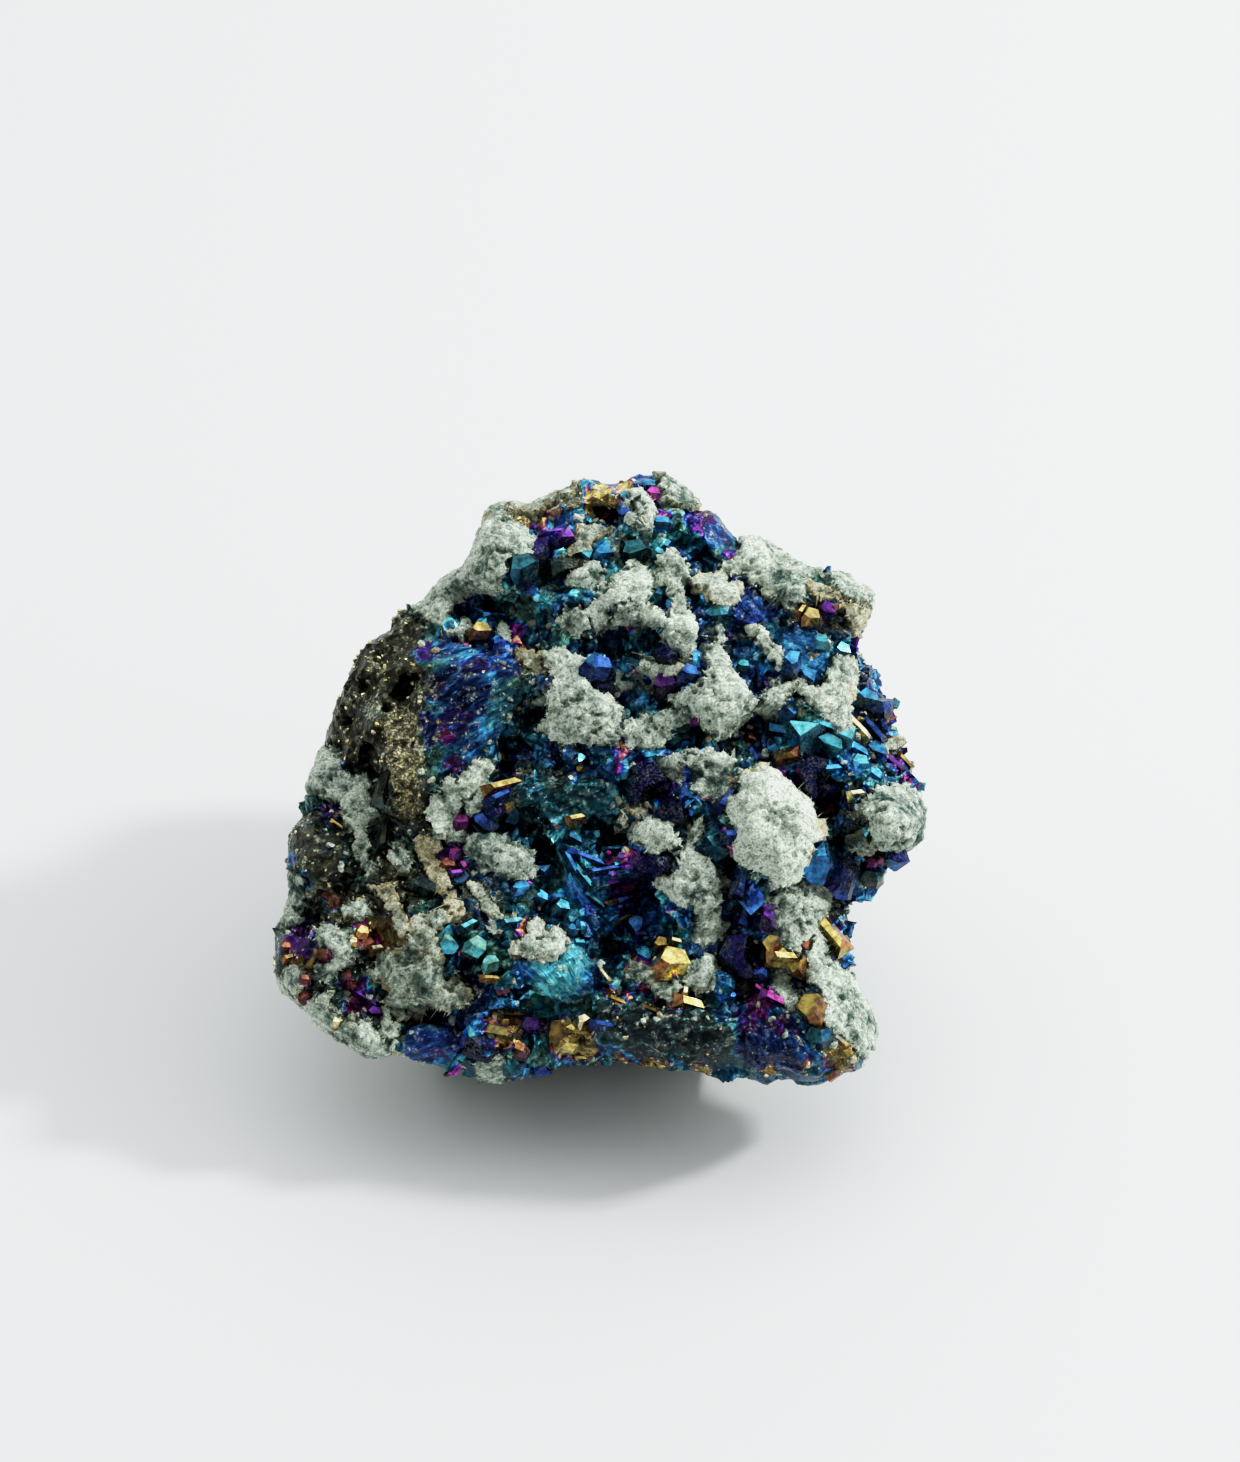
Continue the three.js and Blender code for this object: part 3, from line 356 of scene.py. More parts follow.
def crustDepth(points):
    # millimetres inside the ragged edge of the crust, negative on bare ore
    u, v, w = toFace(points)
    fray = crustFray(points)
    depth, which = insideAny(u, v, plateShapes)
    ragged = np.where(platePale[which] > crustEdge["smoothAbove"], crustEdge["smoothShare"], 1)
    onFace = depth + crustEdge["grow"] + fray * ragged
    patches = roughNoise(points, crustEdge["backSize"], 23) - crustEdge["backCover"]
    onBack = crustEdge["backSteep"] * patches + fray
    front = howFront(u, v, w)
    return onFace * front + onBack * (1 - front)


def crustTint(points):
    # how pale and how warm the crust is
    u, v, w = toFace(points)
    which = insideAny(u, v, plateShapes)[1]
    front = howFront(u, v, w)
    pale, warm = platePale[which], plateWarm[which]
    cloud = crustTone["cloud"] * roughNoise(points, crustTone["cloudSize"], 29)
    for su, sv, radius, amount in crustStains:
        warm = np.maximum(warm, amount * spot(u, v, su, sv, radius, "stain"))
    pale = pale * front + crustTone["backPale"] * (1 - front) + cloud
    warm = warm * front + crustTone["backWarm"] * (1 - front) + cloud
    return pale, warm


# smooth and streaked places of the face

# outline, direction of the streaks in degrees, height of the ridges, depth of the ground,
# share of fine streaks
calmPlaces = [
    ([(-28, 13.5), (-21.5, 17), (-17.4, 16.2), (-16.2, 12), (-15.6, 8), (-15, 4), (-14.4, 0.8),
      (-16.5, -2), (-18.5, -4), (-21.5, -3), (-22.6, 1), (-30, 3), (-30, 9)], 65, 0.45, 0.0, 0.2),
    ([(-18.4, 16.2), (-15.5, 14.5), (-13, 13.5), (-10, 13), (-7.4, 12.2), (-6.6, 9), (-8, 6), (-9.5, 4),
      (-11.5, 2.2), (-14.5, 0.4), (-16, 1), (-17.2, 4), (-18, 8), (-18.4, 12)], 28, 0.4, 0.0, 0.8),
    ([(-0.5, -19.5), (3, -20.4), (7, -21), (9, -20.5), (12.8, -21.8), (13, -23), (14, -25), (14, -28),
      (8, -28.4), (2, -27.4), (-0.5, -25), (-1, -22)], -38, 0.12, 0.0, 0.12),
    ([(-8.5, -16.6), (-4, -16.6), (-2.5, -14), (-1, -15), (-0.4, -18), (0, -20.5), (-2, -21.6), (-5, -21),
      (-7, -19.5)], -48, 0.3, 0.1, 0.55),
    ([(-4, -5), (-2, -4.5), (-0.5, -6.5), (1, -8), (2, -10.5), (-0.5, -12.5), (-3, -11), (-5, -9),
      (-4.6, -7)], -62, 0.45, 0.3, 0.5),
    ([(-10, -1), (-8, 0.6), (-4, 1), (-1, 2), (1.6, 0.6), (2.6, -1.5), (2, -4), (-3, -4.4), (-6, -3.6),
      (-10, -2.6)], 14, 0.55, 0.3, 0.25),
    ([(-30.5, -5), (-28.5, -3), (-25.4, -4), (-24, -6), (-24, -9), (-26, -11), (-29, -10),
      (-31, -8)], 35, 0.5, 0.0, 0.6),
    ([(-19.6, -24.6), (-18, -22.9), (-16, -22.6), (-14, -23), (-12.8, -25), (-13.6, -27), (-16, -28),
      (-19, -27)], 12, 0.16, -0.3, 0.4),
    ([(11.5, -15), (13, -14.4), (15, -14.8), (15.2, -17), (14.8, -19), (13, -19),
      (11.6, -17.6)], 80, 0.12, 0.2, 0.15),
    ([(13.4, -21.4), (16, -20), (19, -21.6), (21, -22.6), (24, -24.4), (25.4, -27), (22, -30), (14, -30),
      (13.4, -26)], -55, 0.4, 0.0, 0.7),
    ([(17.4, 14.6), (19.5, 15), (22, 14.4), (24.4, 12.6), (21.6, 11), (21, 9), (18.6, 9.8),
      (17.4, 11.6)], -20, 0.35, 0.0, 0.5),
    ([(12, 19.4), (14, 19), (15.6, 18), (17.8, 16.4), (17.6, 13.4), (15, 15), (12.6, 15.6),
      (13, 17)], -48, 0.4, 0.2, 0.5),
    ([(9.6, 27), (12.4, 26), (14, 23), (13.2, 21.6), (11.2, 22), (9.6, 24.4)], -62, 0.35, -0.1, 0.7),
    ([(20, -23), (19.4, -21), (20.4, -20.2), (21.2, -21.6)], 60, 0.1, 0.2, 0.2),
    ([(-23, -10.4), (-20.6, -10.8), (-18, -15), (-18.6, -16.6), (-20.4, -16.4),
      (-22.6, -13)], -58, 0.35, 0.2, 0.9),
    ([(-32, -15), (-30.2, -14.2), (-27, -14.6), (-27, -17.2), (-29, -17.8),
      (-32, -18.4)], 70, 0.3, 0.0, 0.3),
    ([(-13.5, 25.5), (-13, 30), (-4, 33), (6, 33), (6.6, 29), (4.4, 28), (2, 27), (-1, 26), (-4, 25),
      (-6, 26.2), (-8.6, 24.6), (-11, 25)], 18, 0.35, 0.0, 0.4),
    ([(9.6, 31), (9, 28), (12.4, 25), (15, 24.4), (16, 28)], -50, 0.3, 0.0, 0.5),
    ([(-24.8, -19.4), (-22.4, -19.6), (-20.4, -22), (-21.2, -23), (-23.4, -22.4),
      (-24.8, -21)], -35, 0.25, -0.2, 0.4),
]
# the fine streaks of the smooth places, and how their outlines wander
streaks = {"length": 6.0, "width": 1.1, "bend": 0.7, "bendSize": 5.0}
calmEdge = {"wander": 0.3, "wanderSize": 1.5, "outside": -0.15, "inside": 0.5, "behind": -5, "before": -2}


def calmAt(points):
    # 1 inside the smooth places, the height of their broad ridges, each point's way along
    # and across the streaks, and how streaky it is
    u, v, w = toFace(points)
    depth, which = insideAny(u, v, [place[0] for place in calmPlaces])
    turn, ridge, low, fine = (np.array([place[k] for place in calmPlaces])[which] for k in (1, 2, 3, 4))
    turn = np.radians(turn)
    wander = calmEdge["wander"] * roughNoise(points, calmEdge["wanderSize"], 31)
    calm = smoothStep(depth + wander, calmEdge["outside"], calmEdge["inside"])
    calm = calm * smoothStep(w - rimSlant * v, calmEdge["behind"], calmEdge["before"])
    bentU = u + streaks["bend"] * roughNoise(points, streaks["bendSize"], 33)
    bentV = v + streaks["bend"] * roughNoise(points, streaks["bendSize"], 35)
    along = bentU * np.cos(turn) + bentV * np.sin(turn)
    aside = bentV * np.cos(turn) - bentU * np.sin(turn)
    wide = np.stack([along / streaks["length"], aside / streaks["width"], 0 * u], 1)
    return calm, ridge * smoothNoise(wide, 1.0, 37) - low, along, aside, fine * calm


# holes between the plates and crystals, sunk into the face and darkened with painted shade: u, v, radius
pockets = [
    (0.5, 25.8, 1), (-8.5, 14.5, 1.2), (-5.5, 14, 1.2), (-13, 16.3, 1.1), (-10.5, 16.8, 1.1),
    (8.2, 23, 1), (10, 21.5, 1), (1, 13, 1.2), (5, 13.3, 1), (3.4, 7.2, 1.1), (12, 3.5, 1.4),
    (14.5, 5, 1.3), (14.5, 3, 1.3), (6.5, 4, 1), (9, 4.3, 1), (-6.5, 5.5, 1), (-8, 3.5, 1),
    (-9, 1.5, 0.9), (-9, -3.8, 1), (-7, -4.2, 1), (-5.2, -6.5, 1.1), (-5.3, -8.3, 1), (-0.5, -4.5, 0.9),
    (1.2, -4.8, 0.9), (0.8, -6.2, 0.8), (4.2, -10.8, 1.8), (2.5, -13.5, 1.4), (1.5, -16, 1.3),
    (6, -13.5, 1.4), (11.8, -8.3, 1), (12.5, -17.5, 1.1), (20.8, -0.8, 1), (21.8, -3, 1.2),
    (22.5, -5.5, 1), (24, -7.5, 0.8), (-17.5, -22, 1), (-15.8, -21.8, 1), (-28, -13, 1),
    (-28, -19.5, 0.9), (-15, -14.3, 0.9), (-4.5, -10, 0.8), (-5.3, -12.5, 0.8), (-22.4, 3, 0.8),
    (-22, 0.6, 0.7), (-19.3, 9, 0.9), (-18.4, 9.8, 0.6), (-23.2, 9.6, 0.6), (-24.8, 6, 0.7),
    (-20.6, 7.2, 0.5),
]
# long ridges and grooves: u, v, length, width, direction in degrees, height
ridges = [
    (-19.3, 2, 10, 2, 105, 0.7), (-21.1, -1.2, 5.5, 1.6, 100, -0.5), (-22.5, 1.5, 7, 1, 95, -0.9),
    (-21.6, 12.2, 8, 1.4, 55, 0.5), (-11, 4.4, 7, 1, 35, 0.4), (-15, 9.6, 7, 1.6, 30, -0.4),
    (-7, -0.2, 5, 1.3, 20, 0.6), (-4, -2.2, 5, 1.2, -10, 0.6), (-0.5, -0.8, 4, 1.2, 40, 0.6),
    (-5.5, -1.4, 4, 0.9, 15, -0.6), (-2, 0.2, 3.5, 0.9, 50, -0.6), (-1.6, -7, 5, 1, -62, 0.5),
    (6, -21.1, 14, 1.1, -10, 0.45), (6, -26.6, 14, 1, -6, 0.4), (17.5, -24.5, 6, 1.2, -50, 0.5),
    (20, -25, 6, 1.2, -55, 0.5), (15.5, -22, 4, 1.1, -60, 0.5), (18.6, -23.4, 5, 0.9, -52, -0.5),
    (-28.5, -16, 4, 1.1, 30, 0.5), (-26, -7, 5, 1.2, 40, 0.6), (-28, -8.6, 4, 1.1, 40, 0.5),
    (-27, -7.9, 4, 0.8, 40, -0.5), (-20.4, -13.6, 6, 1.4, -60, -0.7), (-17, -26, 4, 1.2, 20, 0.4),
]


def pocketAt(u, v):
    # 1 in the holes
    deep = np.zeros(len(u))
    for pu, pv, radius in pockets:
        deep = np.maximum(deep, spot(u, v, pu, pv, radius, "pocket"))
    return deep


ridgeCrest = 0.15  # the flat top of a ridge, as a share of its half width


def ridgeAt(u, v):
    # height of the long ridges, below zero in the grooves
    height = np.zeros(len(u))
    for pu, pv, length, width, turn, top in ridges:
        c, s = math.cos(math.radians(turn)), math.sin(math.radians(turn))
        du, dv = u - pu, v - pv
        far = np.hypot((du * c + dv * s) * 2 / length, (dv * c - du * s) * 2 / width)
        height += top * (1 - smoothStep(far, ridgeCrest, 1.0))
    return height


# places of the face under olive or grey dust: u, v, radius, how much, how warm
dustyPlaces = [
    (-18.3, 1.6, 2.4, 0.95, 0.9), (-19, 5.5, 2.2, 0.95, 0.8), (-17, 8.8, 1.8, 0.6, 0.5),
    (-21.8, 6.9, 1.3, 0.95, 0.1), (-24, 8, 1.2, 0.5, 0.5), (-21.5, 11, 1.4, 0.45, 0.6),
    (-18.2, -2.3, 1.6, 0.9, 1), (-20, 15.5, 1.8, 0.5, 0.4), (-6.8, 11, 1.4, 0.6, 0.8),
    (-8, 1.6, 1.4, 0.6, 0.7), (13.6, 14, 1, 0.7, 1), (17.6, 2.2, 1.6, 0.6, 0.9), (18.8, 6.6, 1, 0.7, 0.9),
    (-8.5, 26, 1.8, 0.6, 1), (-3.6, 27.4, 2, 0.5, 0.5), (0.6, 28, 1.6, 0.4, 1), (7, 28, 2, 0.6, 0.6),
    (23, 15.8, 2, 0.6, 0.8), (24, 19, 2, 0.6, 0.3), (-3.4, 18, 2, 0.3, 0.1), (3, 23, 3.4, 0.42, 0.3),
    (-4, 19.5, 3, 0.42, 0.3), (-12, -12, 3, 0.55, 0.3), (-10.5, -11, 2, 0.6, 0.3),
    (-17, -10.5, 2.4, 0.5, 0.7), (-24, -12, 2, 0.5, 0.6), (24, -4, 2, 0.6, 0.1),
    (25, -9.5, 1.4, 0.4, 0.4), (23, -12.6, 1.6, 0.6, 0.3), (26, 3, 2, 0.5, 0.4), (-2, -25.6, 2, 0.5, 1),
    (-9, -27.6, 1.4, 0.6, 0.3), (-14, 17, 0.8, 0.4, 0.2), (3, 8.6, 1.4, 0.4, 0.5),
    (-26.5, 2, 1.6, 0.5, 0.9), (-25.5, 6, 1.6, 0.4, 0.8), (-12.5, 8, 4.5, 0.28, 0.0),
    (-21, -8, 3, 0.5, 0.8), (-26, -12, 3, 0.45, 0.6), (-13, -20, 3, 0.4, 0.5),
]


# dust of the bare ore away from the dusty places
oreDust = {"everywhere": 0.22, "besideCrust": 0.38, "reach": 0.7, "under": 0.1, "warm": 0.2, "back": 0.3,
           "backSwing": 0.5, "backSize": 5.0}


def dustAt(points, depth):
    # how dusty the ore is, and how warm that dust
    u, v, w = toFace(points)
    besideCrust = smoothStep(depth, -oreDust["reach"], oreDust["under"])
    dust = oreDust["everywhere"] + oreDust["besideCrust"] * besideCrust
    warm = np.full(len(u), oreDust["warm"])
    for du, dv, radius, amount, warmth in dustyPlaces:
        near = spot(u, v, du, dv, radius, "dust")
        warm = np.where(near * amount > dust, warmth, warm)
        dust = np.maximum(dust, near * amount)
    front = howFront(u, v, w)
    backDust = oreDust["back"] + oreDust["backSwing"] * roughNoise(points, oreDust["backSize"], 99)
    return dust * front + (1 - front) * backDust, warm


# where the tarnish takes each colour

# film is the thickness of the tarnish, from brassy and bare at 0 to blue and teal, slate and bronze at 1
film = {"brass": 0.0, "gold": 0.07, "copper": 0.15, "magenta": 0.25, "violet": 0.33, "indigo": 0.41,
        "blue": 0.5, "azure": 0.6, "cyan": 0.7, "green": 0.8, "slate": 0.9, "bronze": 1.0}
# patches of the face that took one colour: u, v, radius, brightness
tarnishPatches = {
    "brass": [(-2.6, -24.4, 2.2, 1.3), (21.9, -14.5, 1.2, 1), (6.8, -17.2, 1.2, 1), (8.2, -20.7, 1, 0.9),
              (0.8, -11.7, 0.5, 1)],
    "gold": [(-26.2, -6.4, 0.8, 0.3), (-24.8, -9, 0.9, 0.35), (0, 27.5, 1.8, 0.7), (2.3, 29, 1, 0.6),
             (-8, 25.5, 1.4, 0.6), (19.8, 16, 1, 0.9), (25.3, 5.2, 1.2, 0.7), (28.3, 6.2, 0.7, 0.5),
             (30, 2, 0.8, 0.6), (17.3, -16, 1.6, 0.8), (23, -26, 1.8, 0.4), (18.3, -23.1, 0.55, 0.8),
             (16, -27, 0.8, 0.5), (21.2, -25.2, 0.5, 0.8), (19.4, -26.6, 0.6, 0.6),
             (22.6, -24.9, 0.6, 0.8), (6, -15.4, 0.7, 0.9), (-9.2, -0.8, 1.2, 0.9), (-20, -14, 2.6, 0.35),
             (-22.5, -15, 1.2, 0.6), (-28.5, -17.2, 1, 0.5), (-9, -23.5, 2, 0.6), (1.5, -20.7, 1, 0.6),
             (5, -21.2, 0.8, 0.6), (5, -27, 1.5, 0.5), (-2, -25, 1.8, 0.9), (23.5, 16.8, 1, 0.6),
             (3, -20.3, 0.6, 0.9), (6.6, -21.1, 0.6, 0.9), (9.6, -27.4, 1.2, 0.6), (2, -26.8, 0.8, 0.7),
             (-18.4, 2.4, 0.8, 0.6), (-19, 6.2, 0.8, 0.6)],
    "copper": [(-4.6, 26.4, 1, 0.5), (27.2, -7.5, 0.7, 0.6), (19.8, -21.3, 1.2, 0.4),
               (14.3, 4.2, 0.8, 0.5), (2.3, 3, 0.8, 0.5), (-30, -15.8, 1, 0.5)],
    "magenta": [(5.2, 28, 1, 0.7), (29.6, -0.2, 0.7, 0.6), (15, -20.8, 1.6, 0.55), (9.1, 5.8, 0.7, 0.8),
                (1.5, 1.5, 0.8, 0.7), (2, -11, 1, 0.7), (-14, -7, 1.5, 0.9), (-14.7, 4.5, 0.8, 0.3),
                (-22.5, -20.7, 2, 0.6), (0.8, -7, 0.6, 0.8)],
    "violet": [(9.5, 25.5, 1.8, 0.35), (12.6, 22, 0.7, 0.9), (-4, 23.6, 1, 0.9), (28.6, 1.6, 0.9, 0.7),
               (26, -7.7, 1, 0.5), (15.5, -12.6, 0.9, 0.7), (16.3, -20.4, 0.8, 0.9),
               (13.9, -22.6, 1.4, 0.45), (16.8, -22.8, 1.3, 0.45), (6.5, 9.3, 1.2, 0.35), (3, -8, 2, 0.6),
               (4.5, -7.5, 0.8, 1.2), (-17, 12.5, 1, 0.4), (-13.8, 1.8, 0.9, 0.22), (-25.8, -3, 1.2, 0.5),
               (-28.5, -15.5, 2, 0.3), (-15.5, -25.5, 1, 0.7)],
    "indigo": [(-16.5, 5, 2, 0.25), (-13.5, 5.8, 1.6, 0.3), (-12, 10.6, 1.4, 0.25), (-15.6, 9, 1.6, 0.2),
               (-5.5, 22, 1.5, 0.4), (-28.4, -9.4, 1.2, 0.6), (20.3, 0.8, 1.2, 0.5), (22.8, -9, 1.5, 0.6),
               (13, -17, 2, 0.4), (0.3, 9.2, 1.3, 0.4), (6.3, 12, 1, 0.4), (5, 0, 2.6, 0.35),
               (2.8, -12.5, 1.5, 0.5)],
    "blue": [(11.2, 24, 1.6, 0.8), (12.8, 19.5, 1.2, 0.7), (15, 17, 2.8, 0.6), (26, 7.8, 1, 0.8),
             (14, -10.8, 1.6, 0.6), (18, -25, 2.8, 0.4), (15, -25, 2.4, 0.4), (8.4, 10.2, 0.9, 0.7),
             (8, -2.5, 1.2, 0.5), (-9, 12, 2.4, 0.45), (-13, 9, 2.6, 0.2), (-14.5, 13.5, 1.3, 0.6),
             (-29.8, -7.5, 0.8, 0.6), (-17, -25, 2.2, 0.6), (-11, -24.5, 1.2, 0.4), (0.3, -23, 0.8, 0.9),
             (-9.8, -2, 1, 0.5)],
    "azure": [(20, 12, 3.2, 1.1), (18.5, 11.5, 1.4, 1.3), (20.5, 9.8, 1.2, 1.3), (22, 1.2, 1.2, 0.9),
              (21.3, -7.4, 1.3, 0.9), (-0.2, 11, 1.4, 0.8), (3, -8.6, 0.7, 0.8), (4, -16, 1.2, 0.9),
              (-5.8, -11, 0.9, 0.9), (-8.8, -21, 1, 1), (11.5, -22, 1, 0.8)],
    "cyan": [(6, 24.8, 1.2, 0.8), (6, 22.8, 1, 0.7), (22.4, 13, 1.8, 1.0), (26.3, 0.9, 1.6, 0.8),
             (19, 4.6, 2, 0.9), (10.8, -6.3, 1.5, 0.5), (20.5, -24, 1.2, 0.6), (2.2, 10, 0.9, 0.9),
             (13.7, 11.1, 0.8, 0.7), (11.5, 16.1, 1, 0.6), (-6, -1.5, 3.6, 0.2), (-1, -2.5, 3, 0.2),
             (-1.5, -6.5, 2.6, 0.6), (-2.5, -5.5, 1, 0.9), (0.3, -10, 0.9, 0.6), (-4, -18, 2.8, 1.3),
             (-5.5, -20, 1.6, 1.2), (-2.5, -15.5, 1, 1), (-3.5, -12, 1, 0.9), (-7.3, -10, 1.4, 1.1),
             (-9.6, -11.4, 1.4, 0.8), (-8.5, 7.5, 2, 0.22)],
    "green": [(-14.2, -15, 1.4, 0.9), (-10.5, -17, 2.2, 0.9), (-12.5, -14, 1.6, 0.8),
              (-15.8, 2.5, 1, 0.4), (-8, 17, 2, 0.3)],
    "slate": [(2.3, 22.3, 1.8, 0.7), (24.2, -1.2, 0.6, 1), (5, -23.5, 3.4, 0.5), (1, -22.5, 2, 0.45),
              (10, -24.5, 3, 0.4), (9.5, -22.6, 2, 0.7), (-20.8, -1.6, 1.6, 0.5), (-4.6, 0, 1.6, 0.5),
              (-8, -1.8, 1.4, 0.5)],
    "bronze": [(-21, -8, 2.6, 0.5), (-18, -9.4, 2, 0.6), (-24, -11, 2, 0.5), (-20, -12, 2, 0.5),
               (-16.5, -3, 2, 0.5), (-26, -12.5, 1.6, 0.5), (-2.5, 27.5, 1.2, 0.8), (-3, 21, 1, 0.5),
               (-20, 9, 4, 0.5), (-21, 3, 3.4, 0.5), (-24.6, 7.4, 3, 0.35), (-22.4, 12, 3, 0.4),
               (-19, 14.4, 2.4, 0.35), (-18, -1.5, 2.4, 0.8), (-17.5, 4.5, 1.6, 0.6), (-27, -7, 3, 0.6),
               (-25.5, 4, 2, 0.3)],
}
patchTable = np.array([(u, v, radius, film[name], bright)
                       for name, rows in tarnishPatches.items() for u, v, radius, bright in rows])
# painted light and shade: places of the face whose tarnish is painted brighter, darker where the number
# is below 1: u, v, radius, how many times brighter
litPlaces = [
    (-1, -8, 5.5, 3.2), (3, -8.5, 4, 2.2), (4.5, 0, 4, 3.2), (21.5, 3, 4.5, 3.4), (-4, -18, 3.4, 2.1),
    (0, 22.5, 7, 2.2), (-7, 19.5, 4, 3.0), (-11, 15, 4.5, 2.4), (-11, -14, 4, 1.7), (4.5, -15, 4, 2.6),
    (9, -13.5, 4, 2.2), (6, -23.5, 5, 0.75), (11, -24.5, 4, 0.75), (17, -25, 5, 0.72), (4.5, 11, 5, 2.6),
    (20, 13, 4, 1.1), (5, 25.5, 5, 1.5), (9.5, 1.5, 4, 1.7),
]
# tarnish between the patches and on the back, and how the patches blend
bareOre = {"faceFilm": 0.62, "faceSpread": 0.26, "faceSize": 4.0, "faceBright": 0.6,
           "brightSpread": 0.6, "brightSize": 3.0, "leftFilm": 0.3, "leftRange": (14, 20),
           "backFilm": 0.72, "backSpread": 0.5, "backSize": 6.0, "backBright": 0.26,
           "backBrightSpread": 0.5, "backBrightSize": 4.0, "patchFade": (0.76, 1.045),
           "warp": 0.6, "warpSize": 1.6, "fineWarp": 0.8, "fineWarpSize": 0.5, "patchBrightest": 1.3,
           "evenOut": 0.65, "brightest": 2.2}


def litAt(u, v):
    # how many times brighter the painted light makes the ore in the lit places
    times = np.ones(np.shape(u))
    for lu, lv, radius, more in litPlaces:
        times *= 1 + (more - 1) * spot(u, v, lu, lv, radius, "light")
    return times


def warpAt(points, seed):
    # lets the borders of the patches wander
    coarse = roughNoise(points, bareOre["warpSize"], seed)
    fine = roughNoise(points, bareOre["fineWarpSize"], seed + 1)
    return bareOre["warp"] * (coarse + bareOre["fineWarp"] * fine)


def tarnishAt(points):
    # film and brightness of the tarnish at each point; the brightness carries the painted light and shade
    # of the lit places
    look = bareOre
    u, v, w = toFace(points)
    warpU, warpV = u + warpAt(points, 41), v + warpAt(points, 47)
    bestGap = np.full(len(u), 1e9)
    bestFilm = np.zeros(len(u))
    bestBright = np.zeros(len(u))
    for pu, pv, radius, patchFilm, patchBright in patchTable:
        gap = np.hypot(warpU - pu, warpV - pv) / radius
        closer = gap < bestGap
        bestFilm = np.where(closer, patchFilm, bestFilm)
        bestBright = np.where(closer, patchBright, bestBright)
        bestGap = np.minimum(bestGap, gap)
    strayFilm = look["faceFilm"] + look["faceSpread"] * roughNoise(points, look["faceSize"], 53)
    strayFilm += look["leftFilm"] * smoothStep(-u, *look["leftRange"])
    mottle = look["brightSpread"] * smoothNoise(points, look["brightSize"], 57)
    strayBright = look["faceBright"] * (1 + mottle)
    near = 1 - smoothStep(bestGap, *look["patchFade"])
    filmHere = np.where(near > 0.5, bestFilm, strayFilm)
    brightHere = bestBright * near + strayBright * (1 - near)
    front = howFront(u, v, w)
    backFilm = look["backFilm"] + look["backSpread"] * roughNoise(points, look["backSize"], 61)
    backMottle = look["backBrightSpread"] * smoothNoise(points, look["backBrightSize"], 67)
    backBright = look["backBright"] * (1 + backMottle)
    filmHere = np.where(front > 0.5, filmHere, backFilm)
    brightHere = brightHere * front + backBright * (1 - front)
    brightHere = np.clip(brightHere, 0, look["patchBrightest"]) ** look["evenOut"]
    # painted light and shade of the lit places
    brightHere *= litAt(u, v) * front + 1 - front
    return np.clip(filmHere, 0, 1), np.minimum(brightHere, look["brightest"])


# small helpers around meshes


def deselectAll():
    bpy.ops.object.select_all(action="DESELECT")


def onlySelect(obj):
    deselectAll()
    obj.select_set(True)
    bpy.context.view_layer.objects.active = obj


def editMesh(obj, tool, **settings):
    # uses one mesh tool on the whole piece
    onlySelect(obj)
    bpy.ops.object.mode_set(mode="EDIT")
    bpy.ops.mesh.select_all(action="SELECT")
    tool(**settings)
    bpy.ops.object.mode_set(mode="OBJECT")


def applyModifier(obj, kind, **settings):
    onlySelect(obj)
    modifier = obj.modifiers.new(kind.title(), kind)
    for name, value in settings.items():
        setattr(modifier, name, value)
    bpy.ops.object.modifier_apply(modifier=modifier.name)


def readVectors(items, label):
    values = np.zeros(len(items) * 3, np.float32)
    items.foreach_get(label, values)
    return values.reshape(-1, 3).astype(float)


def vertexPlaces(obj):
    return readVectors(obj.data.vertices, "co") / millimetre


def vertexNormals(obj):
    return readVectors(obj.data.vertex_normals, "vector")


def quadCorners(obj):
    # the numbers of the four corners of each face
    corners = np.zeros(len(obj.data.loops), np.int64)
    obj.data.loops.foreach_get("vertex_index", corners)
    return corners.reshape(-1, 4)


def moveVertices(obj, places):
    obj.data.vertices.foreach_set("co", (places * millimetre).astype(np.float32).ravel())
    obj.data.update()


def storeValues(obj, name, values, domain="POINT"):
    attribute = obj.data.attributes.get(name) or obj.data.attributes.new(name, "FLOAT", domain)
    attribute.data.foreach_set("value", values.astype(np.float32))


def newPiece(name, places, faces):
    mesh = bpy.data.meshes.new(name)
    mesh.from_pydata((places * millimetre).tolist(), [], faces)
    mesh.update()
    obj = bpy.data.objects.new(name, mesh)
    bpy.context.scene.collection.objects.link(obj)
    return obj


def settle(obj, material):
    # the piece rides with the lump and takes its finish
    obj.data.materials.clear()
    obj.data.materials.append(material)
    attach(obj, "root")


# shader maths


class Wire:
    # a shader socket that can be used in sums
    def __init__(self, shader, socket):
        self.shader, self.socket = shader, socket

    def sum(self, operation, first, second):
        return self.shader.node("ShaderNodeMath", {"operation": operation}, {0: first, 1: second})

    def __add__(self, other):
        return self.sum("ADD", self, other)

    def __radd__(self, other):
        return self.sum("ADD", other, self)

    def __sub__(self, other):
        return self.sum("SUBTRACT", self, other)

    def __rsub__(self, other):
        return self.sum("SUBTRACT", other, self)

    def __mul__(self, other):
        return self.sum("MULTIPLY", self, other)

    def __rmul__(self, other):
        return self.sum("MULTIPLY", other, self)

    def __pow__(self, other):
        return self.sum("POWER", self, other)

    def between(self, low, high):
        settings = {"interpolation_type": "SMOOTHSTEP"}
        values = {"Value": self, "From Min": low, "From Max": high}
        return self.shader.node("ShaderNodeMapRange", settings, values)


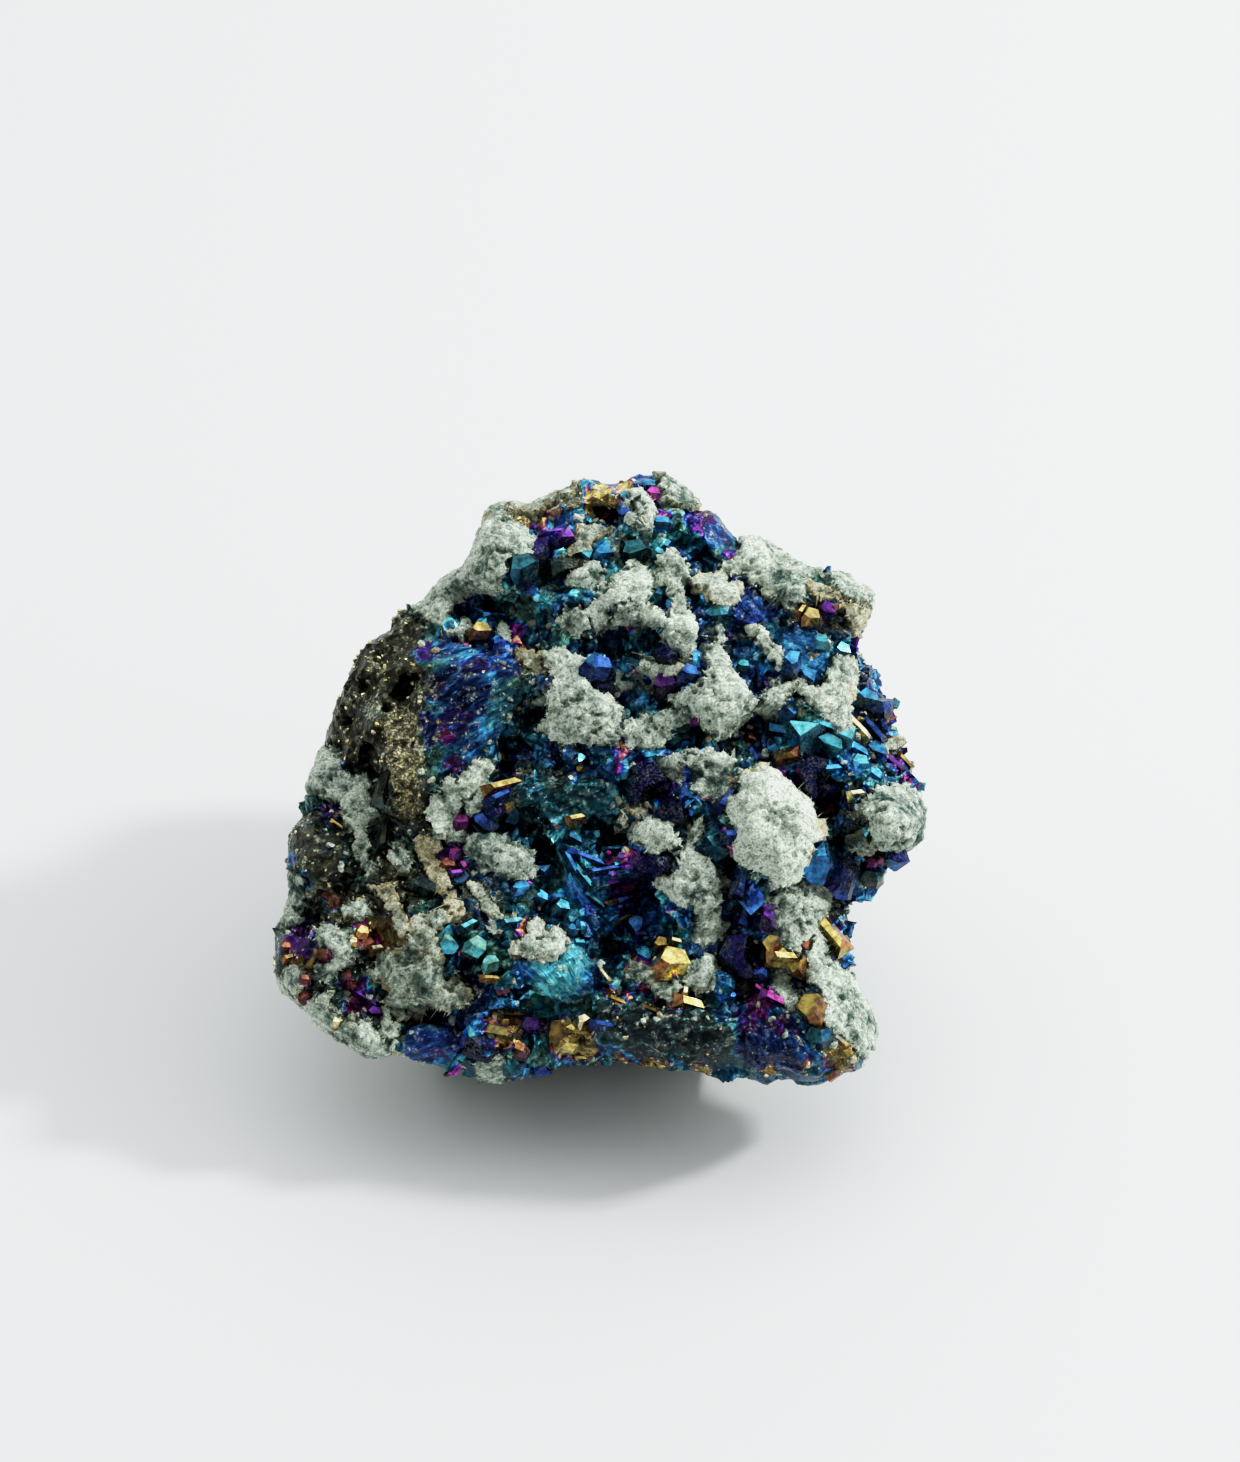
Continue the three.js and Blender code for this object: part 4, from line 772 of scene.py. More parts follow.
class Shader:
    def __init__(self, name):
        self.material = bpy.data.materials.new(name)
        self.material.use_nodes = True
        self.tree = self.material.node_tree
        self.surface = self.tree.nodes["Principled BSDF"]
        self.coords = self.node("ShaderNodeTexCoord", {}, {}, "Object")

    def node(self, kind, settings, values, output=0):
        made = self.tree.nodes.new(kind)
        for name, value in settings.items():
            if name == "stops":
                self.setStops(made.color_ramp, value)
            else:
                setattr(made, name, value)
        for name, value in values.items():
            self.plug(made.inputs[name], value)
        return Wire(self, made.outputs[output])

    def setStops(self, ramp, stops):
        while len(ramp.elements) < len(stops):
            ramp.elements.new(0.5)
        for element, (position, colour) in zip(ramp.elements, stops):
            element.position = position
            element.color = (*colour, 1)

    def plug(self, socket, value):
        if isinstance(value, Wire):
            self.tree.links.new(value.socket, socket)
        else:
            socket.default_value = value

    def set(self, **values):
        for name, value in values.items():
            self.plug(self.surface.inputs[name.replace("_", " ")], value)

    def noise(self, size, detail=3, roughness=0.6):
        return self.noiseOn(self.coords, 1 / (size * millimetre), detail, roughness)

    def noiseOn(self, vector, scale, detail, roughness):
        values = {"Vector": vector, "Scale": scale, "Detail": detail, "Roughness": roughness}
        return self.node("ShaderNodeTexNoise", {}, values, "Fac")

    def greyOf(self, value):
        return self.node("ShaderNodeCombineColor", {}, {0: value, 1: value, 2: value})

    def attribute(self, name):
        return self.node("ShaderNodeAttribute", {"attribute_name": name}, {}, "Fac")

    def mixColour(self, factor, first, second, blend="MIX"):
        settings = {"data_type": "RGBA", "blend_type": blend}
        return self.node("ShaderNodeMix", settings, {0: factor, 6: first, 7: second}, 2)

    def shaded(self, colour, grey):
        # the colour made darker or brighter by a grey number
        return self.mixColour(1.0, colour, self.greyOf(grey), "MULTIPLY")

    def vectors(self, operation, first, second, output=0):
        settings = {"operation": operation}
        return self.node("ShaderNodeVectorMath", settings, {0: first, 1: second}, output)

    def speckle(self, size):
        # one number for each grain of this size
        values = {"Vector": self.coords, "Scale": 1 / (size * millimetre), "Randomness": 1.0}
        tint = self.node("ShaderNodeTexVoronoi", {}, values, "Color")
        return self.node("ShaderNodeSeparateColor", {}, {0: tint})

    def facets(self, size):
        # a height made of small flats, each tipped its own way
        values = {"Vector": self.coords, "Scale": 1 / (size * millimetre), "Randomness": 1.0}
        centre = self.node("ShaderNodeTexVoronoi", {}, values, "Position")
        tint = Wire(self, centre.socket.node.outputs["Color"])
        away = self.vectors("SUBTRACT", self.coords, centre)
        slope = self.vectors("SUBTRACT", tint, (0.5, 0.5, 0.5))
        return self.vectors("DOT_PRODUCT", away, slope, "Value")

    def bump(self, height, distance, strength=1.0, normal=None):
        values = {"Height": height, "Distance": distance, "Strength": strength}
        if normal is not None:
            values["Normal"] = normal
        return self.node("ShaderNodeBump", {}, values)


tarnishStops = [
    (0.00, (0.97, 0.86, 0.50)), (0.07, (0.95, 0.73, 0.20)), (0.15, (0.60, 0.22, 0.10)),
    (0.25, (0.58, 0.07, 0.42)), (0.33, (0.24, 0.07, 0.54)), (0.41, (0.035, 0.04, 0.28)),
    (0.50, (0.05, 0.14, 0.58)), (0.60, (0.07, 0.38, 0.80)), (0.70, (0.10, 0.50, 0.62)),
    (0.80, (0.13, 0.35, 0.27)), (0.90, (0.10, 0.17, 0.19)), (1.00, (0.14, 0.145, 0.085)),
]


def tarnishColour(shader, thickness):
    return shader.node("ShaderNodeValToRGB", {"stops": tarnishStops}, {"Fac": thickness}, "Color")


# each noise is its size in millimetres, detail and roughness; each bump its height in metres and strength
oreLook = {"streakLong": 0.45, "streakFine": 2.2, "streakNoise": (1.0, 5, 0.7),
           "streakRange": (0.3, 0.72), "streakDrift": 0.2, "streakLeast": 0.12, "streakMost": 1.9,
           "driftNoise": (0.9,), "drift": 0.14, "patchNoise": (0.8, 4), "patchRange": (0.38, 0.66),
           "patchLeast": 0.3, "patchMost": 1.7, "fineNoise": (0.22, 4), "fineBump": (0.00004, 0.6),
           "furrowBump": (0.00022, 0.9), "facetSize": 1.3, "facetBump": (0.5, 1.0), "calmFlat": 0.6,
           "dustNoise": (0.3, 4, 0.75), "dustGrain": 1.5, "dustPatch": 0.7, "dustRange": (0.35, 0.75),
           "coolDust": (0.24, 0.29, 0.23, 1), "warmDust": (0.27, 0.25, 0.13, 1), "gritSize": 0.17,
           "gritLeast": 0.3, "gritMost": 2.6, "clotSize": 0.5, "clotLeast": 0.45, "clotMost": 1.1,
           "roughness": 0.32, "roughNoise": (0.4,), "roughSpread": 0.25, "dustRough": 0.5}
faceLook = {"driftNoise": (1.3, 4), "driftLeast": 0.1, "driftMost": 1.6, "shadeNoise": (0.8, 4, 0.6),
            "shadeRange": (0.34, 0.66), "shadeLeast": 0.3, "shadeMost": 0.8, "fineNoise": (0.22, 4),
            "fineBump": (0.00002, 0.5), "facetSize": 0.9, "facetBump": (0.1, 1.0),
            "dustNoise": (0.26, 4, 0.75), "cloudNoise": (1.8,), "cloud": 0.5, "dustRange": (0.5, 0.66),
            "dust": (0.10, 0.13, 0.11, 1), "gritSize": 0.15, "gritLeast": 0.4, "gritMost": 1.2,
            "roughNoise": (0.4,), "roughSpread": 0.2, "dustRough": 0.5}
crustLook = {"mottleNoise": (0.8, 5, 0.72), "mottle": 1.5, "cloudNoise": (3.2, 3, 0.6),
             "smallCloudNoise": (1.5, 3, 0.6), "cloud": 1.1, "paleShare": 0.8, "darken": 1.82,
             "dark": (0.035, 0.08, 0.065, 1), "pale": (0.82, 0.95, 0.77, 1),
             "stain": (0.60, 0.50, 0.26, 1), "stainNoise": (2.2, 3), "stainSpread": 0.9,
             "stainRange": (0.35, 1.1), "stainMost": 0.7, "gritSize": 0.16, "gritLeast": 0.5,
             "gritMost": 0.85, "fleck": (0.04, 0.05, 0.04, 1), "fleckNoise": (0.32, 4, 0.75),
             "fleckRange": (0.57, 0.65), "fleckMost": 0.8, "feltNoise": (0.14, 3, 0.8),
             "feltBump": (0.00005, 0.8), "facetSize": 0.2, "facetBump": (0.7, 1.0),
             "lumpNoise": (0.4, 5, 0.75), "lumpBump": (0.00012, 0.9), "roughness": 0.85,
             "specular": 0.25}


def tarnishedOre():
    # bright metal under a coloured film, streaked in the smooth places, dull where dust lies on it
    look, shader = oreLook, Shader("tarnishedOre")
    calm, streaky = shader.attribute("calm"), shader.attribute("streaky")
    along = shader.attribute("along") * look["streakLong"]
    aside = shader.attribute("aside") * look["streakFine"]
    flow = shader.node("ShaderNodeCombineXYZ", {}, {0: along, 1: aside})
    streak = shader.noiseOn(flow, *look["streakNoise"]).between(*look["streakRange"])
    drift = look["drift"] * (shader.noise(*look["driftNoise"]) - 0.5)
    thickness = shader.attribute("film") + drift + look["streakDrift"] * streaky * (streak - 0.5)
    colour = tarnishColour(shader, thickness)
    patchy = shader.noise(*look["patchNoise"]).between(*look["patchRange"])
    plain = look["patchLeast"] + look["patchMost"] * patchy * patchy
    streaked = look["streakLeast"] + look["streakMost"] * streak * streak
    uneven = (1 - streaky) * plain + streaky * streaked
    # the bright attribute brings in the painted light, shade and glints of the body
    metal = shader.shaded(colour, shader.attribute("bright") * uneven)
    fine = shader.bump(shader.noise(*look["fineNoise"]), *look["fineBump"])
    furrows = shader.bump(streak * streaky, *look["furrowBump"], fine)
    facets = shader.facets(look["facetSize"]) * (1 - look["calmFlat"] * calm)
    faceted = shader.bump(facets, *look["facetBump"], furrows)
    grains = look["dustGrain"] * (shader.noise(*look["dustNoise"]) - 0.5)
    dust = shader.attribute("dust") + grains + look["dustPatch"] * (patchy - 0.5)
    dust = dust.between(*look["dustRange"])
    dull = shader.mixColour(shader.attribute("warm"), look["coolDust"], look["warmDust"])
    grit = look["gritLeast"] + look["gritMost"] * shader.speckle(look["gritSize"]) ** 3.0
    clots = look["clotLeast"] + look["clotMost"] * shader.speckle(look["clotSize"])
    dull = shader.shaded(dull, grit * clots)
    roughness = look["roughness"] + look["roughSpread"] * (shader.noise(*look["roughNoise"]) - 0.5)
    shader.set(Base_Color=shader.mixColour(dust, metal, dull), Metallic=1 - dust,
               Roughness=roughness + look["dustRough"] * dust, Normal=faceted)
    return shader.material


def tarnishedFaces(name, drift, roughness, powder):
    # clean crystal faces under a coloured film
    look, shader = faceLook, Shader(name)
    coated = shader.attribute("film")
    wander = drift * (look["driftLeast"] + look["driftMost"] * coated)
    wander = wander * (shader.noise(*look["driftNoise"]) - 0.5)
    colour = tarnishColour(shader, coated + wander)
    # painted sheen: the brightness wanders over each face in soft clouds
    shade = shader.noise(*look["shadeNoise"]).between(*look["shadeRange"])
    uneven = look["shadeLeast"] + look["shadeMost"] * shade
    metal = shader.shaded(colour, shader.attribute("bright") * uneven)
    fine = shader.bump(shader.noise(*look["fineNoise"]), *look["fineBump"])
    faceted = shader.bump(shader.facets(look["facetSize"]), *look["facetBump"], fine)
    specks, cloud = shader.noise(*look["dustNoise"]), shader.noise(*look["cloudNoise"])
    dust = (specks + look["cloud"] * (cloud - 0.5)).between(*look["dustRange"]) * powder
    grit = look["gritLeast"] + look["gritMost"] * shader.speckle(look["gritSize"])
    dull = shader.shaded(look["dust"], grit)
    roughness = roughness + look["roughSpread"] * (shader.noise(*look["roughNoise"]) - 0.5)
    shader.set(Base_Color=shader.mixColour(dust, metal, dull), Metallic=1 - dust,
               Roughness=roughness + look["dustRough"] * dust, Normal=faceted)
    return shader.material


def crustMaterial():
    # felted grey with dark flecks and warm stains
    look, shader = crustLook, Shader("greyCrust")
    pale, warm = shader.attribute("pale"), shader.attribute("warm")
    mottle = shader.noise(*look["mottleNoise"])
    cloud = shader.noise(*look["cloudNoise"]) + shader.noise(*look["smallCloudNoise"])
    # the pale attribute carries the crust's own tone and the painted light and shade of its relief
    grey = pale * look["paleShare"] + mottle * look["mottle"] + cloud * look["cloud"] - look["darken"]
    colour = shader.mixColour(grey.between(0.0, 1.0), look["dark"], look["pale"])
    tinge = warm + (shader.noise(*look["stainNoise"]) - 0.5) * look["stainSpread"]
    tinge = tinge.between(*look["stainRange"]) * look["stainMost"]
    colour = shader.mixColour(tinge, colour, look["stain"])
    grit = look["gritLeast"] + look["gritMost"] * shader.speckle(look["gritSize"])
    colour = shader.shaded(colour, grit)
    fleck = shader.noise(*look["fleckNoise"]).between(*look["fleckRange"]) * look["fleckMost"]
    colour = shader.mixColour(fleck, colour, look["fleck"])
    felt = shader.bump(shader.noise(*look["feltNoise"]), *look["feltBump"])
    felt = shader.bump(shader.facets(look["facetSize"]), *look["facetBump"], felt)
    lumps = shader.bump(shader.noise(*look["lumpNoise"]), *look["lumpBump"], felt)
    shader.set(Base_Color=colour, Roughness=look["roughness"], Metallic=0.0, Normal=lumps,
               Specular_IOR_Level=look["specular"])
    return shader.material


# the body of the ore

# mesh, relief and tarnish of the bare ore
oreBody = {"weld": 1e-6, "voxel": 0.405, "smoothing": 4, "skinSmoothing": 14, "grainSize": 3.4,
           "grainTip": 0.62, "chipSize": 1.7, "chipTip": 0.6, "gritSize": 0.8, "grit": 0.7,
           "bareSink": 0.45, "crustRange": (-0.45, 0.25), "underCrust": 0.75, "backGrain": 3.2,
           "backTip": 0.35, "backChip": 0.3, "backUnderCrust": 0.3, "footRange": (0.05, 1.2),
           "warp": 0.8, "warpSize": 1.4, "calmGrain": 0.2, "riseRange": (-1.6, 0.9),
           "grainFilm": 0.1, "chipFilm": 0.14, "calmFilm": 0.7, "oddAbove": 0.965, "oddFilm": 0.05,
           "oddSpread": 0.3, "dim": 0.38, "grainBright": 0.35, "sparkleAbove": 0.6, "sparkle": 3.6,
           "calmBright": 0.7, "pocket": 1.1, "pocketPaintedShade": 0.85}


def makeBody():
    look = oreBody
    onlySelect(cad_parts["ore"])
    bpy.ops.object.duplicate()
    body = bpy.context.active_object
    body.name = "ore_body"
    for key in list(body.keys()):
        del body[key]
    body.parent = None
    editMesh(body, bpy.ops.mesh.remove_doubles, threshold=look["weld"])
    applyModifier(body, "REMESH", mode="VOXEL", voxel_size=look["voxel"] * millimetre)
    applyModifier(body, "SMOOTH", factor=0.5, iterations=look["smoothing"])
    skin = body.copy()
    skin.data = body.data.copy()
    skin.name = "smooth_skin"
    bpy.context.scene.collection.objects.link(skin)
    applyModifier(skin, "SMOOTH", factor=0.5, iterations=look["skinSmoothing"])
    places, normals = vertexPlaces(body), vertexNormals(body)
    u, v, w = toFace(places)
    front = howFront(u, v, w)
    depth = crustDepth(places)
    covered = smoothStep(depth, *look["crustRange"])
    foot = smoothStep(places[:, 2], *look["footRange"])
    grain, grainNumber = brokenGrains(places, look["grainSize"], 71)[::2]
    chip, chipNumber = brokenGrains(places, look["chipSize"], 83)[::2]
    backGrain = brokenGrains(places, look["backGrain"], 91)[0]
    calm, ridge, along, aside, streaky = calmAt(places)
    dust, warm = dustAt(places, depth)
    grit = brokenGrains(places, look["gritSize"], 97)[0]
    broken = look["grainTip"] * grain + look["chipTip"] * chip - look["bareSink"]
    warpU = u + look["warp"] * roughNoise(places, look["warpSize"], 73)
    warpV = v + look["warp"] * roughNoise(places, look["warpSize"], 79)
    pocket = pocketAt(warpU, warpV) * front
    smooth = ridge + look["calmGrain"] * look["grainTip"] * grain + look["grit"] * grit * dust
    smooth = smooth + ridgeAt(warpU, warpV)
    faceRise = (broken * (1 - calm) + smooth * calm - look["pocket"] * pocket) * (1 - covered)
    faceRise -= look["underCrust"] * covered
    backRise = look["backTip"] * backGrain + look["backChip"] * chip - look["backUnderCrust"] * covered
    rise = np.clip(faceRise * front + backRise * (1 - front), *look["riseRange"])
    places += normals * (rise * foot)[:, None]
    places[:, 2] = np.maximum(places[:, 2], 0)
    moveVertices(body, places)
    filmHere, brightHere = tarnishAt(places)
    grainDrift = look["grainFilm"] * (grainNumber - 0.5) + look["chipFilm"] * (chipNumber - 0.5)
    filmHere += grainDrift * (1 - look["calmFilm"] * calm)
    oddChip = (1 - calm) * (chipNumber > look["oddAbove"])
    oddFilm = look["oddFilm"] + look["oddSpread"] * grainNumber
    filmHere = np.where(oddChip > 0.5, oddFilm, np.clip(filmHere, 0, 1))
    # painted glints: the brightness of the grains varies, and a few chips are made much brighter
    sparkling = look["dim"] + look["grainBright"] * grainNumber
    sparkling = sparkling + look["sparkle"] * np.maximum(chipNumber - look["sparkleAbove"], 0)
    brightHere *= sparkling * (1 - calm) + look["calmBright"] * calm
    # painted shade: the holes darken the tarnish and its dust
    brightHere *= 1 - look["pocketPaintedShade"] * pocket
    dust *= 1 - look["pocketPaintedShade"] * pocket
    for label, values in (("film", filmHere), ("bright", brightHere), ("dust", dust), ("warm", warm),
                          ("calm", calm), ("streaky", streaky), ("along", along), ("aside", aside)):
        storeValues(body, label, values)
    print("body", len(body.data.polygons), "faces")
    return body, skin


body, skin = makeBody()
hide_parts("ore")
settle(body, tarnishedOre())

# the grey crust, in plates with ragged edges

# relief of the crust sheets
greyCrust = {"margin": -0.35, "partHeight": 4, "lift": 0.3, "edgeDrop": 0.05, "edgeWidth": 0.6,
             "swell": 0.55, "swellSize": 3.0, "swellShare": 0.6, "step": 0.28, "stepRange": (0.55, 0.85),
             "lump": 0.17, "lumpSize": 2.4, "fold": 0.16, "foldSize": 1.7, "chip": 0.1, "chipSize": 1.0,
             "grit": 0.05, "gritSize": 0.45, "pits": 0.4, "pitSize": 0.7, "pitAbove": 0.9,
             "pitRim": (0.05, 0.25), "crack": 0.22, "crackSize": 4.0, "crackRim": (0.02, 0.1),
             "riseRange": (-0.7, 0.75), "footRange": (0.3, 1.5), "floorGap": 0.02, "reliefPaintedShading": 0.8,
             "reliefShadingFrom": 0.1, "reliefShadingRange": (-0.7, 0.4), "edgeWarm": 0.35, "warmWidth": 0.5,
             "thickness": 1.2}


def cutSheet(name, wanted, cuts):
    # the part of the smooth skin where wanted(places) is above zero, cut finer first
    places, faces = vertexPlaces(skin), quadCorners(skin)
    keep = wanted(places) > greyCrust["margin"]
    faces = faces[keep[faces].any(1)]
    used, renumbered = np.unique(faces, return_inverse=True)
    sheet = newPiece(name, places[used], renumbered.reshape(-1, 4).tolist())
    if cuts:
        editMesh(sheet, bpy.ops.mesh.subdivide, number_cuts=cuts)
    drop = wanted(vertexPlaces(sheet))[quadCorners(sheet)].mean(1) < 0
    onlySelect(sheet)
    bpy.ops.object.mode_set(mode="EDIT")
    bpy.ops.mesh.select_mode(type="FACE")
    bpy.ops.mesh.select_all(action="DESELECT")
    bpy.ops.object.mode_set(mode="OBJECT")
    sheet.data.polygons.foreach_set("select", drop)
    bpy.ops.object.mode_set(mode="EDIT")
    bpy.ops.mesh.delete(type="FACE")
    bpy.ops.object.mode_set(mode="OBJECT")
    return sheet


def terraced(heights, step):
    # the same heights, gathered into flat flakes one step apart
    level = np.floor(heights / step)
    return (level + smoothStep(heights / step - level, *greyCrust["stepRange"])) * step


def makeCrust(name, wanted, cuts):
    look, sheet = greyCrust, cutSheet(name, wanted, cuts)
    places, normals = vertexPlaces(sheet), vertexNormals(sheet)
    inside = wanted(places)
    rise = look["lift"] - look["edgeDrop"] * (1 - smoothStep(inside, 0, look["edgeWidth"]))
    swell = look["swell"] * smoothNoise(places, look["swellSize"], 101)
    rise += terraced(swell, look["step"]) * look["swellShare"]
    fold = 1 - 2 * np.abs(roughNoise(places, look["foldSize"], 102))
    rise += look["fold"] * np.clip(fold, -0.5, 1) - 0.5 * look["fold"]
    rise += look["grit"] * roughNoise(places, look["gritSize"], 103)
    lump = brokenGrains(places, look["lumpSize"], 105)[0]
    chip = brokenGrains(places, look["chipSize"], 106)[0]
    rise += look["lump"] * lump + look["chip"] * chip
    pitEdge, pitNumber = brokenGrains(places, look["pitSize"], 107)[1:]
    rise -= look["pits"] * (pitNumber > look["pitAbove"]) * smoothStep(pitEdge, *look["pitRim"])
    crackEdge = brokenGrains(places, look["crackSize"], 109)[1]
    rise -= look["crack"] * (1 - smoothStep(crackEdge, *look["crackRim"]))
    rise = np.clip(rise, *look["riseRange"])
    foot = smoothStep(places[:, 2], *look["footRange"])
    pale, warm = crustTint(places)
    # painted light and shade: the raised parts of the crust are made paler, the low parts darker
    high = np.clip(rise - look["reliefShadingFrom"], *look["reliefShadingRange"])
    storeValues(sheet, "pale", pale + look["reliefPaintedShading"] * high)
    storeValues(sheet, "warm", warm + look["edgeWarm"] * (1 - smoothStep(inside, 0, look["warmWidth"])))
    places += normals * (rise * foot)[:, None]
    places[:, 2] = np.maximum(places[:, 2], look["floorGap"])
    moveVertices(sheet, places)
    applyModifier(sheet, "SOLIDIFY", thickness=look["thickness"] * millimetre, offset=-1)
    bpy.ops.object.shade_smooth()
    print(name, len(sheet.data.polygons), "faces")
    return sheet


def crustOnFace(places, upper):
    # the plates of the upper or of the lower half of the face
    u, v, w = toFace(places)
    which = insideAny(u, v, plateShapes)[1]
    middles = np.array([np.mean([c[1] for c in corners]) for corners in plateShapes])
    wanted = (howFront(u, v, w) > 0.5) & ((middles[which] > greyCrust["partHeight"]) == upper)
    return np.where(wanted, crustDepth(places), -1)


def crustOnBack(places):
    u, v, w = toFace(places)
    return np.where(howFront(u, v, w) <= 0.5, crustDepth(places), -1)


feltedGrey = crustMaterial()
upperCrust = makeCrust("upper_crust", lambda places: crustOnFace(places, True), 1)
lowerCrust = makeCrust("lower_crust", lambda places: crustOnFace(places, False), 1)
backCrust = makeCrust("back_crust", crustOnBack, 0)
for piece in (upperCrust, lowerCrust, backCrust):
    settle(piece, feltedGrey)


# crystals with flat faces

